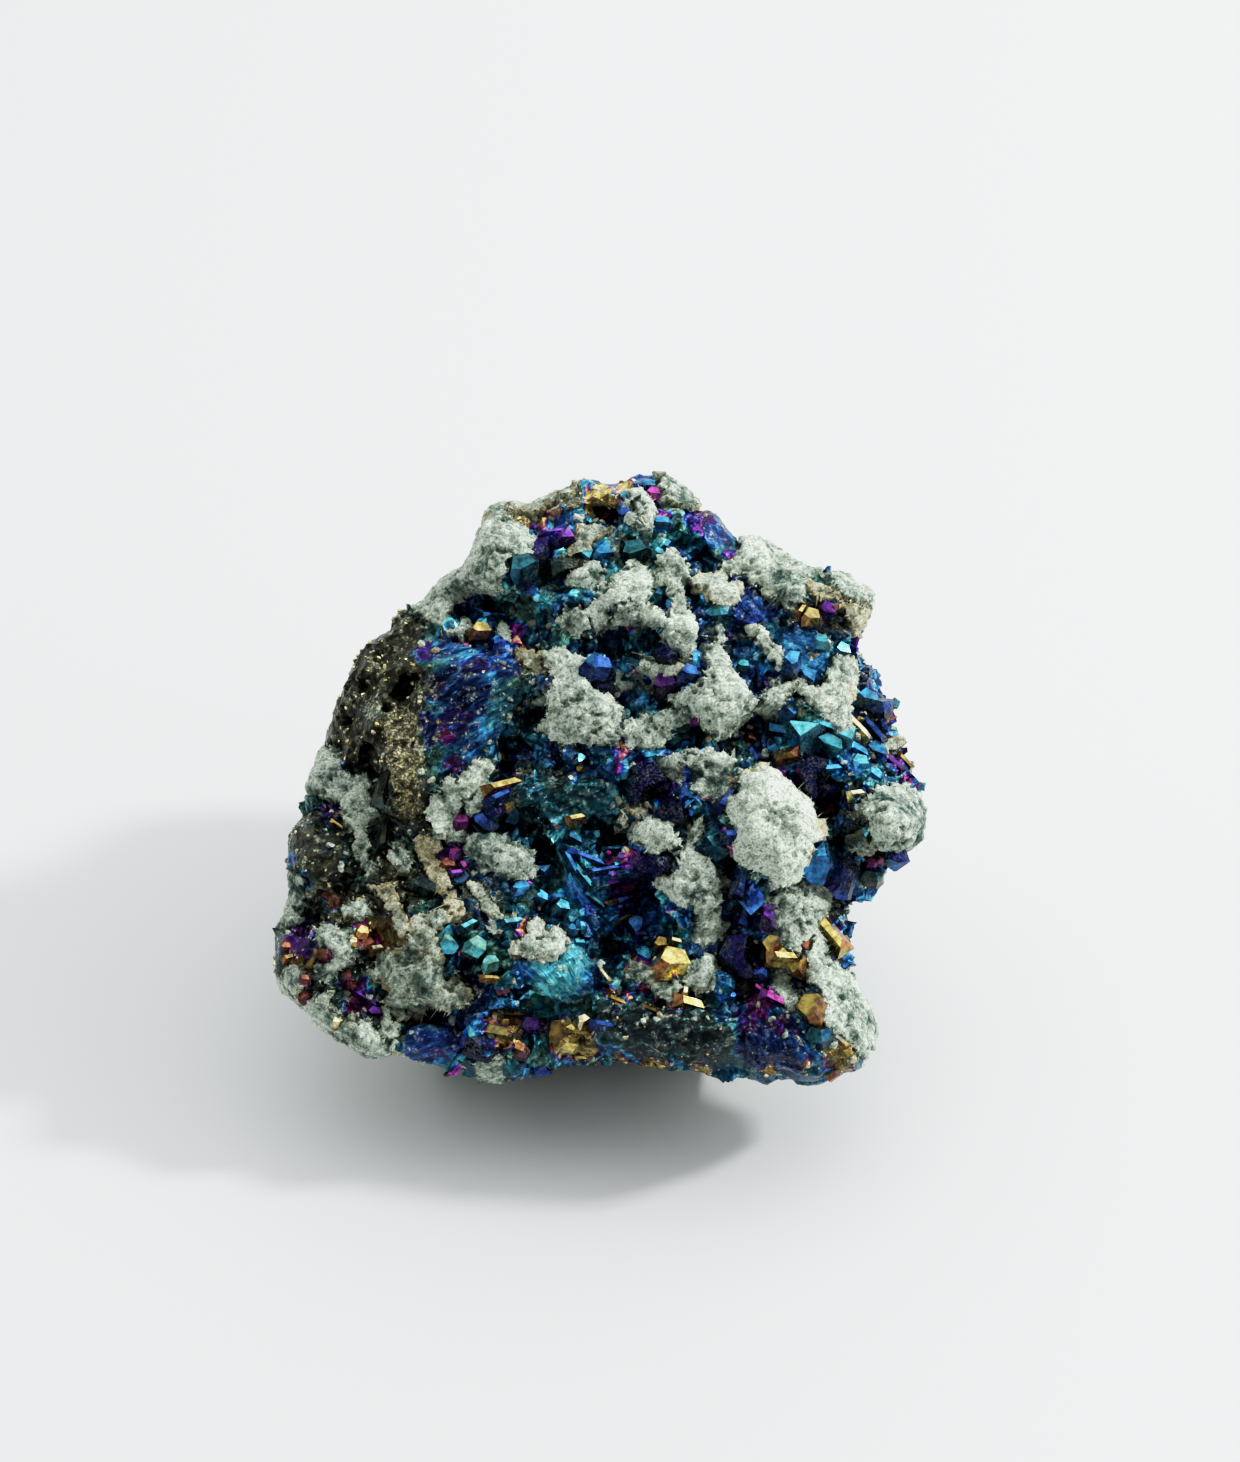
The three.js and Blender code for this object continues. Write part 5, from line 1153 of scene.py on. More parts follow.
# crystals that stand clear of the ore: habit, u, v, length, width, turn, colour of the film, brightness
standingCrystals = [
    ("shard", -1.2, -7.2, 3.4, 0.9, -20, "blue", 0.9), ("shard", 1.4, -6.4, 3.2, 0.8, 12, "azure", 0.8),
    ("shard", 2.6, -9.5, 4, 0.7, 14, "violet", 1.1), ("shard", -1.6, -8.8, 3, 0.9, -60, "cyan", 0.8),
    ("shard", 0.2, -8.4, 3.2, 0.7, 20, "blue", 1), ("shard", -2.8, -7.4, 2.6, 0.8, -70, "azure", 0.8),
    ("shard", 3.4, -11, 3, 0.6, 30, "blue", 0.8), ("shard", -0.4, -11.2, 2.6, 0.8, -40, "cyan", 0.7),
    ("tri", 23.6, 4, 3, 2, 30, "cyan", 0.9), ("shard", 24.4, 3.2, 3, 1.4, -35, "azure", 0.9),
    ("tri", 18.4, 6.4, 2, 1.4, 10, "azure", 0.8), ("shard", 21.2, 5.4, 2.6, 1.2, -30, "cyan", 0.9),
    ("hex", 26.6, 2.8, 2, 1.6, -20, "azure", 0.7), ("shard", 14.8, 2.6, 2.6, 1.4, -60, "blue", 0.6),
    ("tri", 9.4, 2.6, 2.2, 1.8, 30, "azure", 0.5), ("shard", 11.8, -1.8, 2.6, 1.2, 60, "blue", 0.6),
    ("shard", -8.4, -13.2, 2.4, 1, 20, "cyan", 1), ("hex", -11.6, -15.6, 2, 1.6, -20, "green", 1.1),
    ("shard", -12.6, -13.6, 2, 1, 40, "cyan", 0.9), ("tri", -5.4, -8.6, 2, 1.4, 10, "azure", 0.9),
    ("hex", 2.6, 26, 2, 1.6, 15, "blue", 0.7), ("shard", 0.4, 24.6, 2.6, 1.2, -30, "azure", 0.7),
    ("tri", -1.4, 21.6, 2, 1.6, 20, "cyan", 0.7), ("shard", 8, 21.8, 2.4, 1.2, -50, "blue", 0.8),
    ("shard", 3, 11.6, 2.2, 1.2, -15, "cyan", 0.6), ("hex", 4.8, 10, 1.8, 1.4, 20, "blue", 0.5),
    ("hex", -0.2, 10.7, 3, 2, 0, "blue", 1.1), ("hex", 0.3, 9, 2.5, 2.2, 20, "indigo", 0.14),
    ("tri", 2.3, 9.9, 1.9, 1, -35, "cyan", 1.1), ("hex", 6.5, 9.2, 2.4, 2, 10, "violet", 0.14),
    ("hex", 6.4, 12, 2.3, 1.8, -30, "indigo", 0.18), ("hex", 8.5, 10.2, 1.8, 1.5, 0, "blue", 0.8),
    ("hex", 9.2, 5.8, 1, 0.9, 0, "magenta", 1.2), ("tri", 19.4, 4.3, 4.2, 3.2, -10, "cyan", 1.3),
    ("shard", 17.3, 4.9, 2.6, 1.9, -15, "azure", 0.4), ("hex", 22, 3.4, 2.8, 1.7, -20, "cyan", 0.45),
    ("shard", 22, 1.2, 2, 1.1, 15, "azure", 1.1), ("hex", 20.3, 0.8, 3.2, 2.5, 60, "indigo", 0.12),
    ("hex", 21.9, -0.7, 2, 1.8, 10, "indigo", 0.14), ("tri", 20.9, -7.4, 3.6, 2.4, 60, "azure", 1.3),
    ("shard", 20, -8.2, 1, 0.8, 30, "violet", 1.4), ("hex", 22.8, -9.2, 3.2, 2.1, 75, "blue", 0.45),
    ("hex", 11, -6.2, 2.9, 2, -25, "cyan", 0.4), ("shard", 12.4, -5, 1.7, 1.3, 10, "blue", 1),
    ("hex", 4.2, -16.8, 2.8, 2.4, -30, "azure", 1.5), ("shard", 3.9, -14.6, 1.4, 0.8, 0, "indigo", 0.6),
    ("hex", 6.9, -17.3, 3.2, 2.6, 10, "gold", 1.2), ("hex", 6, -15.4, 1.4, 1.2, 0, "gold", 0.7),
    ("shard", 7.3, -15.1, 1.2, 0.8, -20, "brass", 1), ("hex", 5.5, -17, 1.1, 1, 0, "gold", 0.7),
    ("shard", 8.4, -20.9, 2.6, 1.8, -5, "gold", 1.3), ("shard", 8, -19.7, 1.6, 1, 80, "brass", 1.2),
    ("shard", 22, -14.4, 3.8, 1.8, -58, "gold", 1.3), ("hex", 23.6, -15.2, 1.3, 0.9, -50, "gold", 0.8),
    ("shard", 17.2, -16.5, 2.6, 1.4, 8, "gold", 1.2), ("hex", 18.8, -17.3, 2.1, 1.7, 70, "gold", 0.6),
    ("hex", 16.2, -15.4, 1.9, 1.4, 65, "gold", 0.5), ("hex", 19.7, -15.6, 1.2, 0.9, 80, "copper", 0.6),
    ("hex", 19.9, -21.3, 2.7, 2.3, 80, "gold", 0.35),
    ("shard", 16.3, -20.5, 2.2, 1.5, -20, "magenta", 0.9),
    ("shard", 15.2, -19.6, 1.6, 0.7, -45, "magenta", 0.9),
    ("hex", 16, -12.6, 2.3, 1.3, 85, "violet", 0.9), ("shard", 13.3, -9.4, 2.7, 1.3, 75, "blue", 0.8),
    ("shard", 13.9, -12, 2.7, 1.1, 80, "blue", 0.6), ("hex", 13, -11.6, 1.6, 1.3, 0, "cyan", 0.45),
    ("hex", 13.3, -16.5, 3.8, 3.2, 85, "indigo", 0.18),
    ("shard", 4.6, -7.7, 2.8, 0.9, -10, "violet", 1.3), ("shard", 3, -8.6, 2.8, 0.9, 15, "azure", 0.9),
    ("hex", 5.2, -8, 2.8, 2.3, 0, "indigo", 0.25), ("shard", 2, -11, 1.8, 0.6, 25, "magenta", 1.2),
    ("shard", 0.4, -10, 1.4, 0.6, 15, "cyan", 0.8), ("shard", 1, -11.6, 2.1, 0.6, 27, "brass", 1),
    ("shard", 0.9, -10.9, 1.8, 0.9, 30, "blue", 0.9), ("hex", 0.8, -6.9, 0.9, 0.8, 0, "magenta", 1.2),
    ("hex", 2.2, -7.2, 2, 1.2, 10, "violet", 0.5), ("shard", 1.8, -13.4, 2.8, 0.5, 25, "copper", 0.5),
    ("shard", -9.2, -0.4, 3.4, 1.4, 22, "gold", 1.3), ("shard", -9.4, -1.4, 2.8, 1.2, 40, "blue", 0.8),
    ("hex", -11, -3.9, 1.8, 1.4, -40, "blue", 0.5), ("hex", -13, -3.9, 1.5, 1.3, 0, "magenta", 0.4),
    ("shard", -2.3, -3.5, 1.7, 1, 22, "gold", 1.1), ("hex", -1.8, 1.2, 0.7, 0.7, 40, "gold", 0.4),
    ("shard", -8.7, -2.3, 1.1, 1, 50, "gold", 1), ("hex", -13.7, -6.9, 1.3, 1, 40, "magenta", 1.3),
    ("shard", -14.3, -6, 1.3, 0.8, -30, "violet", 0.8), ("hex", -14.4, -8, 1.5, 1.1, 0, "copper", 0.8),
    ("shard", -13.6, -8.7, 1.4, 0.9, 10, "violet", 1.3),
    ("hex", -12.9, -8, 0.9, 0.7, -60, "magenta", 1.2),
    ("shard", -22.6, -20.5, 3.3, 1.4, -40, "violet", 1),
    ("shard", -23.8, -19.7, 1.8, 1, -25, "magenta", 0.8), ("hex", -21.4, -22, 1.3, 1, 0, "violet", 0.7),
    ("shard", -20.2, -20.4, 1, 0.6, 80, "magenta", 1.2), ("hex", -23.7, -18.4, 1.4, 0.9, 0, "copper", 1),
    ("tri", -14.4, -15, 2, 1.5, -60, "green", 1.2), ("hex", -10.2, -17.2, 1.7, 1.3, 20, "green", 1),
    ("shard", -10.3, -18.5, 1.7, 0.7, 0, "gold", 0.9),
    ("shard", -8.8, -21.1, 2.3, 1.2, -12, "azure", 1.3), ("shard", -8.2, -22, 2.1, 0.7, 0, "gold", 0.6),
    ("shard", -9.6, -23.5, 3, 2, -15, "gold", 0.5), ("hex", -7.8, -25.2, 1.9, 1.3, -30, "copper", 0.9),
    ("hex", -11, -24.9, 2.8, 1.9, -20, "indigo", 0.25), ("hex", -6.2, -23.2, 2.1, 1.7, 0, "violet", 0.4),
    ("tri", -3.3, 23.4, 2.4, 1.8, 60, "violet", 1), ("shard", -4.4, 24.2, 3.2, 0.7, 12, "violet", 0.9),
    ("hex", -5.4, 22.2, 2.4, 2.1, 80, "indigo", 0.25), ("shard", -3, 20.8, 3, 1.9, 15, "bronze", 0.25),
    ("hex", -7.3, 20.6, 2.7, 2.1, 30, "cyan", 0.25), ("shard", -10.2, 16.1, 2, 0.6, 8, "azure", 1.4),
    ("shard", -11.8, 16.6, 1.7, 0.5, -45, "azure", 1.2), ("hex", -12, 17.3, 1.1, 0.9, 0, "blue", 1),
    ("shard", -13.2, 17.3, 0.9, 0.5, 70, "violet", 1.2), ("hex", -11.5, 14.4, 2, 1.4, 10, "gold", 0.8),
    ("hex", 6, 25, 1.9, 1.1, -10, "azure", 1.2), ("hex", 5.6, 22, 1.1, 0.9, 0, "cyan", 1.1),
    ("shard", 6.5, 22.8, 1, 0.9, 60, "azure", 0.9), ("hex", 0.3, 22, 1.8, 1.2, 10, "azure", 0.45),
    ("hex", 3.4, 22.2, 2.5, 1.9, 20, "cyan", 0.3), ("hex", 5.2, 28, 1.5, 1.1, 0, "magenta", 1.2),
    ("shard", 24.6, 5.4, 3.4, 1.1, -55, "brass", 1.2), ("shard", 26.2, 5.2, 3.3, 1.1, -58, "blue", 0.5),
    ("shard", 28.3, 6.4, 1.5, 1, -40, "brass", 1), ("hex", 25.8, 7.9, 2.1, 1.5, -10, "azure", 0.9),
    ("hex", 27, 7, 1.9, 1.7, 0, "blue", 0.5), ("shard", 28.2, 1.9, 2.5, 1.1, -50, "violet", 1),
    ("shard", 29.6, 2, 2.8, 1, -55, "gold", 0.9), ("hex", 29.5, -0.1, 1.3, 1.1, 0, "magenta", 1.1),
    ("hex", 25, 1.6, 1.7, 1.5, 0, "cyan", 0.9), ("hex", 26.3, 0.6, 2.1, 1.5, -35, "azure", 0.8),
    ("shard", 27.6, -0.2, 1, 0.8, 0, "cyan", 1.3), ("shard", 24.4, -1.2, 1.5, 1, 20, "brass", 1.4),
    ("hex", 20.4, 15.7, 1.7, 1.5, 0, "gold", 0.7), ("shard", 19.3, 16.4, 1.3, 0.9, 60, "gold", 0.9),
    ("shard", 18.7, 15.3, 1, 0.7, 20, "brass", 1.4), ("hex", 21.8, 16.5, 1.7, 1.5, 0, "violet", 0.5),
    ("hex", 21.3, 13.3, 1.3, 1.2, 0, "cyan", 0.8), ("hex", 18.4, 11.4, 2, 1.6, 70, "azure", 1.2),
    ("hex", 20, 9.9, 1.7, 1.1, -40, "azure", 1), ("hex", 23.3, 12.6, 1.9, 1.5, 0, "azure", 0.6),
    ("hex", 13.8, 11, 1.2, 1, 0, "cyan", 1.1), ("hex", 11.3, 16.2, 1.8, 1.3, 0, "cyan", 0.6),
    ("shard", 14.6, 4.1, 1, 0.6, -20, "copper", 0.9), ("shard", 2.2, 3.3, 1.5, 0.9, -70, "copper", 0.7),
    ("shard", 3.4, 1.5, 1.6, 0.9, -60, "azure", 1.2), ("shard", 1.6, 1.3, 1.3, 0.4, -50, "magenta", 1.1),
    ("hex", 4.4, 0, 3.5, 3, 20, "indigo", 0.1), ("shard", 8.2, -2.4, 2.5, 1.2, 55, "azure", 0.8),
    ("hex", 6.8, -3, 3, 2.4, 0, "indigo", 0.14), ("shard", 0.3, -22.8, 2, 1, -5, "blue", 1.1),
    ("shard", 1.6, -20.6, 1.9, 0.8, -25, "gold", 0.9), ("shard", 4.8, -21.3, 1.7, 0.8, -20, "gold", 0.6),
    ("hex", -2.8, -24.8, 2.1, 1.3, -10, "brass", 1), ("hex", -1.6, -22.6, 1.3, 1, 40, "brass", 0.9),
    ("shard", -1.8, -26.3, 2.5, 1, 5, "gold", 0.7), ("hex", 16.2, -27.2, 1.9, 1.3, -20, "gold", 0.4),
    ("hex", 22, -27.6, 1.9, 1.5, 30, "gold", 0.6), ("shard", 22.6, -24.2, 1.8, 0.7, -50, "brass", 0.9),
    ("hex", 24, -26.2, 1, 0.9, 0, "brass", 1.1), ("hex", 20.5, -24, 1.9, 1.9, 0, "cyan", 0.5),
    ("hex", 26, -7.8, 1, 0.8, 0, "magenta", 0.5), ("shard", 27.1, -7.5, 1.4, 0.8, 10, "copper", 1),
    ("hex", 28.6, -8, 1.5, 1.3, 0, "bronze", 0.3), ("hex", -22.4, -14.4, 1.2, 1.1, 0, "gold", 1.1),
    ("hex", -23.3, -15.3, 0.8, 0.8, 0, "brass", 1.3), ("hex", -22, -15.4, 1.3, 1.1, 30, "copper", 0.6),
    ("shard", -21.2, -15.9, 1.2, 0.9, 20, "brass", 1), ("hex", -26, -16.4, 1.4, 1.3, 0, "copper", 0.5),
    ("shard", -27.2, -17, 1.9, 0.9, 60, "gold", 0.7), ("shard", -29.4, -16.8, 1.7, 1, 20, "gold", 0.8),
    ("hex", -29.9, -15.9, 1.1, 0.9, 0, "copper", 0.9), ("hex", -27.9, -18.8, 0.9, 0.8, 0, "copper", 1),
    ("hex", -28, -20.4, 1.5, 1, 30, "copper", 0.5), ("hex", -24.8, -22.8, 1.1, 1, 20, "brass", 1.3),
    ("shard", -25.9, -2.8, 1.5, 1, -50, "violet", 0.8), ("hex", -25.2, -3.2, 1, 0.9, 0, "magenta", 0.5),
    ("shard", -25.2, -4.2, 1.7, 0.7, -35, "gold", 0.8),
    ("shard", -2.4, -5.4, 1.6, 1.1, -30, "azure", 0.8), ("hex", -7.4, -10.1, 1.8, 1.1, 20, "azure", 1.3),
    ("shard", -6.6, -9.7, 0.8, 0.7, -30, "violet", 1.4), ("hex", -5.6, -11, 1.5, 1.1, -20, "azure", 1.1),
    ("hex", -3.6, -12, 1.5, 1.3, 0, "cyan", 0.9), ("hex", -2.4, -14, 1.1, 0.9, 0, "azure", 0.8),
    ("shard", -1.9, -15.2, 1.1, 0.9, 0, "cyan", 1.2), ("shard", 0.2, -17.8, 2.5, 0.6, -60, "brass", 1.5),
    ("shard", 17.6, 2.4, 2.4, 1.4, 10, "gold", 0.3), ("hex", 26, -9.4, 2, 1.6, 0, "slate", 0.5),
    ("hex", 23, -16.6, 2, 1.4, 40, "violet", 0.14), ("shard", -20.6, -0.4, 4.8, 2, 74, "bronze", 0.45),
    ("shard", -20.9, -5.2, 4, 1.5, 82, "bronze", 0.4), ("hex", -16.7, -9.9, 2.8, 1.4, -20, "slate", 0.5),
    ("shard", -24.6, -8.4, 2.2, 1, -20, "bronze", 0.6),
]
# planes that trim each habit from a block of unit size: outward direction and distance from its middle
habits = {
    "hex": [((1, 0.2, 0.35), 0.42), ((-0.9, 0.5, 0.3), 0.4), ((0.1, -1, 0.5), 0.38),
            ((0.3, 0.9, 0.25), 0.42), ((-0.6, -0.7, 0.7), 0.46), ((0.8, -0.7, 0.1), 0.46),
            ((0.12, 0.05, 1), 0.36)],
    "tri": [((0, 1, 0.35), 0.26), ((0.87, -0.5, 0.3), 0.27), ((-0.87, -0.5, 0.45), 0.28),
            ((-0.6, 0.5, 0.9), 0.44), ((0.15, 0.1, 1), 0.34)],
    "shard": [((0.1, 0.8, 0.55), 0.26), ((0, -1, 0.25), 0.3), ((1, 0.35, 0.5), 0.42),
              ((-1, -0.25, 0.7), 0.4), ((0.1, -0.1, 1), 0.32)],
    "stub": [((0.9, 0.5, 0.8), 0.4), ((-1, 0.1, 0.7), 0.38), ((0.1, -0.9, 0.9), 0.4),
             ((-0.3, 1, 0.5), 0.42), ((1, -0.9, 0.1), 0.46), ((-0.8, -0.8, 0.1), 0.46)],
    "spike": [((1, 0, 0.55), 0.3), ((-0.5, 0.87, 0.55), 0.3), ((-0.5, -0.87, 0.55), 0.3),
              ((0.3, 0.9, 0.2), 0.4)],
}


# how the standing crystals sit and shine; tilts and swings in degrees
crystalLook = {"sunk": 0.46, "deep": 1.1, "edgeSize": 0.75, "faceSize": 0.45, "facingRange": (0.3, 0.75),
               "cleanAbove": 0.75, "cleanTilt": (32, 39), "cleanSwing": (-15, 34), "plainTilt": (16, 34),
               "plainSwing": (-100, 60), "litMost": 1.8, "litShare": 0.6, "goldBelow": 0.1,
               "flashAbove": 1.4, "flash": 2.4, "goldFlash": 1.7, "plainFlash": 1.3, "topAbove": 0.8,
               "topSpread": 0.015, "sideFilm": 0.44, "sideDrift": 0.3, "sideLeast": 0.3, "sideGlow": 0.7,
               "sideShadeShares": [0.15, 0.3, 0.45, 0.7], "goldSideShadeShares": (0.4, 0.9), "bevel": 0.07,
               "bevelFilms": [0.04, 0.66], "bevelHighlightBrights": [0.15, 0.4, 1.0]}


def makeHabit(planes):
    deselectAll()
    bpy.ops.mesh.primitive_cube_add(size=1)
    block = bpy.context.active_object
    bpy.ops.object.mode_set(mode="EDIT")
    for direction, distance in planes:
        bpy.ops.mesh.select_all(action="SELECT")
        normal = Vector(direction).normalized()
        bpy.ops.mesh.bisect(plane_co=normal * distance, plane_no=normal, use_fill=True, clear_outer=True)
    bpy.ops.mesh.select_all(action="SELECT")
    bpy.ops.mesh.normals_make_consistent(inside=False)
    bpy.ops.object.mode_set(mode="OBJECT")
    places = np.array([vertex.co for vertex in block.data.vertices], float)
    faces = [list(p.vertices) for p in block.data.polygons]
    tops = np.array([p.normal.z for p in block.data.polygons])
    bpy.data.objects.remove(block)
    return places, faces, tops


crystalShapes = {name: makeHabit(planes) for name, planes in habits.items()}


class CrystalHeap:
    # gathers placed crystals, each a closed solid, into one mesh
    def __init__(self):
        self.places, self.faces, self.values, self.count = [], [], [], 0

    def add(self, habit, seat, up, along, size, sunk, values):
        # values(top) gives the numbers of one face from how far it looks up
        places, faces, tops = crystalShapes[habit]
        up = up / np.linalg.norm(up)
        side = np.cross(up, along)
        side /= np.linalg.norm(side)
        basis = np.stack([np.cross(side, up), side, up], 1)
        placed = (places * size + [0, 0, size[2] * (0.5 - sunk)]) @ basis.T + seat
        self.places.append(placed)
        self.faces += [[i + self.count for i in face] for face in faces]
        self.count += len(places)
        self.values += [values(top) for top in tops]

    def piece(self, name, labels):
        obj = newPiece(name, np.concatenate(self.places), self.faces)
        for label, column in zip(labels, np.array(self.values).T):
            storeValues(obj, label, column, "FACE")
        print(name, len(obj.data.polygons), "faces")
        return obj


skinTree = BVHTree.FromPolygons([tuple(p) for p in vertexPlaces(skin) * millimetre],
                                [list(p.vertices) for p in skin.data.polygons])


rayStart = 40.0  # millimetres in front of the face, clear of the whole lump


def seatOnFace(u, v):
    # where a line into the face meets the smooth skin, and how the skin looks there
    start = Vector(fromFace(np.array(u), np.array(v), np.array(rayStart)) * millimetre)
    hit, normal = skinTree.ray_cast(start, Vector(-outOfFace))[:2]
    if hit is None:
        return None, None
    return np.array(hit) / millimetre, np.array(normal)


def bevelEdges(piece, chance):
    # narrow bevels along the edges of the crystals, coloured as painted edge highlights of random
    # brightness
    broad = len(piece.data.polygons)
    applyModifier(piece, "BEVEL", width=crystalLook["bevel"] * millimetre, segments=1,
                  limit_method="ANGLE", material=1)
    films, brights = piece.data.attributes["film"].data, piece.data.attributes["bright"].data
    for polygon in piece.data.polygons:
        if polygon.material_index == 1:
            own = films[polygon.index].value
            films[polygon.index].value = chance.choice([own, *crystalLook["bevelFilms"]])
            brights[polygon.index].value = chance.choice(crystalLook["bevelHighlightBrights"])
            polygon.material_index = 0
    print("bevelled", broad, "to", len(piece.data.polygons), "faces")


def makeStandingCrystals():
    look, heap, chance = crystalLook, CrystalHeap(), random.Random(5)
    for habit, u, v, length, width, turn, colour, bright in standingCrystals:
        seat, normal = seatOnFace(u, v)
        if seat is None:
            continue
        t = math.radians(turn)
        along = math.cos(t) * across + math.sin(t) * upFace
        # the clean bright ones turn toward the light
        clean = bright > look["cleanAbove"]
        tilt = math.radians(chance.uniform(*look["cleanTilt" if clean else "plainTilt"]))
        swing = math.radians(chance.uniform(*look["cleanSwing" if clean else "plainSwing"]))
        sideways = math.cos(swing) * upFace + math.sin(swing) * across
        up = math.cos(tilt) * outOfFace + math.sin(tilt) * sideways
        golden = film[colour] < look["goldBelow"]
        # painted light: the crystal takes part of the painted light of its place
        glow = bright * min(litAt(u, v), look["litMost"]) ** look["litShare"]
        flash = look["goldFlash"] if golden else look["plainFlash"]
        flash = look["flash"] if bright >= look["flashAbove"] else flash
        facing = smoothStep(normal @ outOfFace, *look["facingRange"])
        grown = look["edgeSize"] + look["faceSize"] * facing
        size = np.array([length, width, width * look["deep"]]) * grown

        # painted light and shade: the top face takes the full brightness, the side faces a darker share
        # of it
        def values(top):
            if top > look["topAbove"]:
                drift = chance.uniform(-look["topSpread"], look["topSpread"])
                return film[colour] + drift, min(glow, flash)
            share = chance.uniform(*look["goldSideShadeShares"]) if golden else chance.choice(look["sideShadeShares"])
            drift = (look["sideFilm"] - film[colour]) * chance.uniform(0, look["sideDrift"])
            return film[colour] + drift, (look["sideLeast"] + look["sideGlow"] * glow) * share

        heap.add(habit, seat, up, along, size, look["sunk"], values)
    piece = heap.piece("standing_crystals", ["film", "bright"])
    bevelEdges(piece, chance)
    return piece


def facePlaces(obj):
    polygons = obj.data.polygons
    return readVectors(polygons, "center") / millimetre, readVectors(polygons, "normal")


def anyDirection(chance):
    return np.array([chance.uniform(-1, 1) for _ in range(3)])


def blockSize(chance, kind):
    # few long ones, many short ones
    length = kind["small"] + (kind["large"] - kind["small"]) * chance.random() ** kind["rarity"]
    return length * np.array([1, chance.uniform(*kind["broad"]), chance.uniform(*kind["deep"])])


bodyCentres, bodyNormals = facePlaces(body)
bodyFront = howFront(*toFace(bodyCentres))
bodyDepth = crustDepth(bodyCentres)
bodyCalm = calmAt(bodyCentres)[0]
bodyFilm, bodyBright = tarnishAt(bodyCentres)
# painted shade in the holes, as on the body
bodyBright *= 1 - oreBody["pocketPaintedShade"] * pocketAt(*toFace(bodyCentres)[:2])
footHeight = 1.5  # nothing grows lower than this
aboveFoot = bodyCentres[:, 2] > footHeight
# the small crystals between them
druse = {"faceCount": 380, "backCount": 300, "small": 0.6, "large": 2.6, "rarity": 2.2,
         "broad": (0.6, 0.95), "deep": (0.6, 1.0), "habits": ["hex", "stub", "tri", "spike", "shard"],
         "sunk": 0.45, "tip": 0.9, "nestSize": 2.4, "nestShare": 0.02, "leftEnd": -17,
         "besideCrust": 0.15, "calmMost": 0.3, "faceAbove": 0.8, "backBelow": 0.1,
         "facingRange": (0.1, 0.6), "filmSpread": 0.1, "oddChance": 0.1, "oddFilm": (0.0, 0.36),
         "bright": 0.8, "least": 0.04, "sideSpread": 0.08, "glintLeast": 0.16, "glintMost": 1.5,
         "glintRarity": 3.5, "shine": 2.2, "brightest": 1.5}


def makeDruse():
    heap, chance = CrystalHeap(), random.Random(9)
    bare = (bodyDepth < -druse["besideCrust"]) & aboveFoot & (bodyCalm < druse["calmMost"])
    nests = smoothNoise(bodyCentres, druse["nestSize"], 113) > druse["nestShare"]
    onFace = bodyFront > druse["faceAbove"]
    crowded = bare & onFace & (toFace(bodyCentres)[0] > druse["leftEnd"]) & nests
    behind = bare & (bodyFront <= druse["backBelow"])
    for mask, count in ((crowded, druse["faceCount"]), (behind, druse["backCount"])):
        for index in chance.sample(list(np.flatnonzero(mask)), count):
            size = blockSize(chance, druse)
            habit = chance.choice(druse["habits"])
            filmHere = bodyFilm[index] + chance.uniform(-druse["filmSpread"], druse["filmSpread"])
            if chance.random() < druse["oddChance"]:
                filmHere = chance.uniform(*druse["oddFilm"])
            brightHere = bodyBright[index] * druse["bright"] + druse["least"]
            facing = smoothStep(bodyNormals[index] @ outOfFace, *druse["facingRange"])
            size *= 0.5 + 0.5 * facing * onFace[index]

            # painted glints: each face takes a random brightness, a few much brighter, over the painted
            # light and shade of the body below it
            def values(top):
                glint = druse["glintLeast"] + druse["glintMost"] * chance.random() ** druse["glintRarity"]
                sideFilm = filmHere + chance.uniform(-druse["sideSpread"], druse["sideSpread"])
                shine = brightHere * glint * druse["shine"]
                return min(max(sideFilm, 0), 1), min(shine, druse["brightest"])

            up = bodyNormals[index] + anyDirection(chance) * druse["tip"]
            heap.add(habit, bodyCentres[index], up, anyDirection(chance), size, druse["sunk"], values)
    return heap.piece("druse", ["film", "bright"])


crystalFinish = tarnishedFaces("crystalFaces", drift=0.16, roughness=0.24, powder=0.5)
for piece in (makeStandingCrystals(), makeDruse()):
    settle(piece, crystalFinish)

# crumbs and tufts of the crust, brassy grains

# loose-looking crumbs, short fibres and bright specks
crumbs = {"count": 1300, "small": 0.25, "large": 1.0, "rarity": 2.5, "broad": (0.5, 0.9),
          "deep": (0.5, 0.9), "pale": (0.3, 1.1), "warm": (-0.1, 0.9), "habits": ["hex", "stub", "shard"],
          "tip": 0.6, "sunk": 0.35, "reach": 2.6}
tufts = {"count": 3200, "short": 0.1, "long": 0.5, "thick": 0.1, "thickRange": (0.6, 1.2), "hairs": 26,
         "hairLong": 1.8, "hairRange": (0.5, 1), "hairThick": 0.05, "root": 0.15, "edge": 0.22,
         "outside": 2.5, "slopeStep": 0.25, "lean": 0.5, "tip": 0.9, "pale": 0.55, "warm": 0.1}
brassyGrains = {"count": 700, "small": 0.15, "large": 0.55, "rarity": 2, "broad": (0.6, 1),
                "deep": (0.6, 1), "habits": ["hex", "stub", "shard"], "tip": 0.8, "sunk": 0.3,
                "film": (-0.02, 0.05), "bright": [0.3, 0.7, 1.1, 1.4], "everywhere": 0.1,
                "leftRange": (2, 20), "leftAbove": 0.8, "goldBelow": 0.12, "onGold": 2.5,
                "bronzeAbove": 0.93, "onBronze": 0.8, "crustMost": 0.1}


def scatter(heap, chance, kind, index, blockValues):
    # one small block seated on a face of the body; blockValues() gives it its own values(top)
    size = blockSize(chance, kind)
    values = blockValues()
    habit = chance.choice(kind["habits"])
    up = bodyNormals[index] + kind["tip"] * anyDirection(chance)
    heap.add(habit, bodyCentres[index], up, anyDirection(chance), size, kind["sunk"], values)


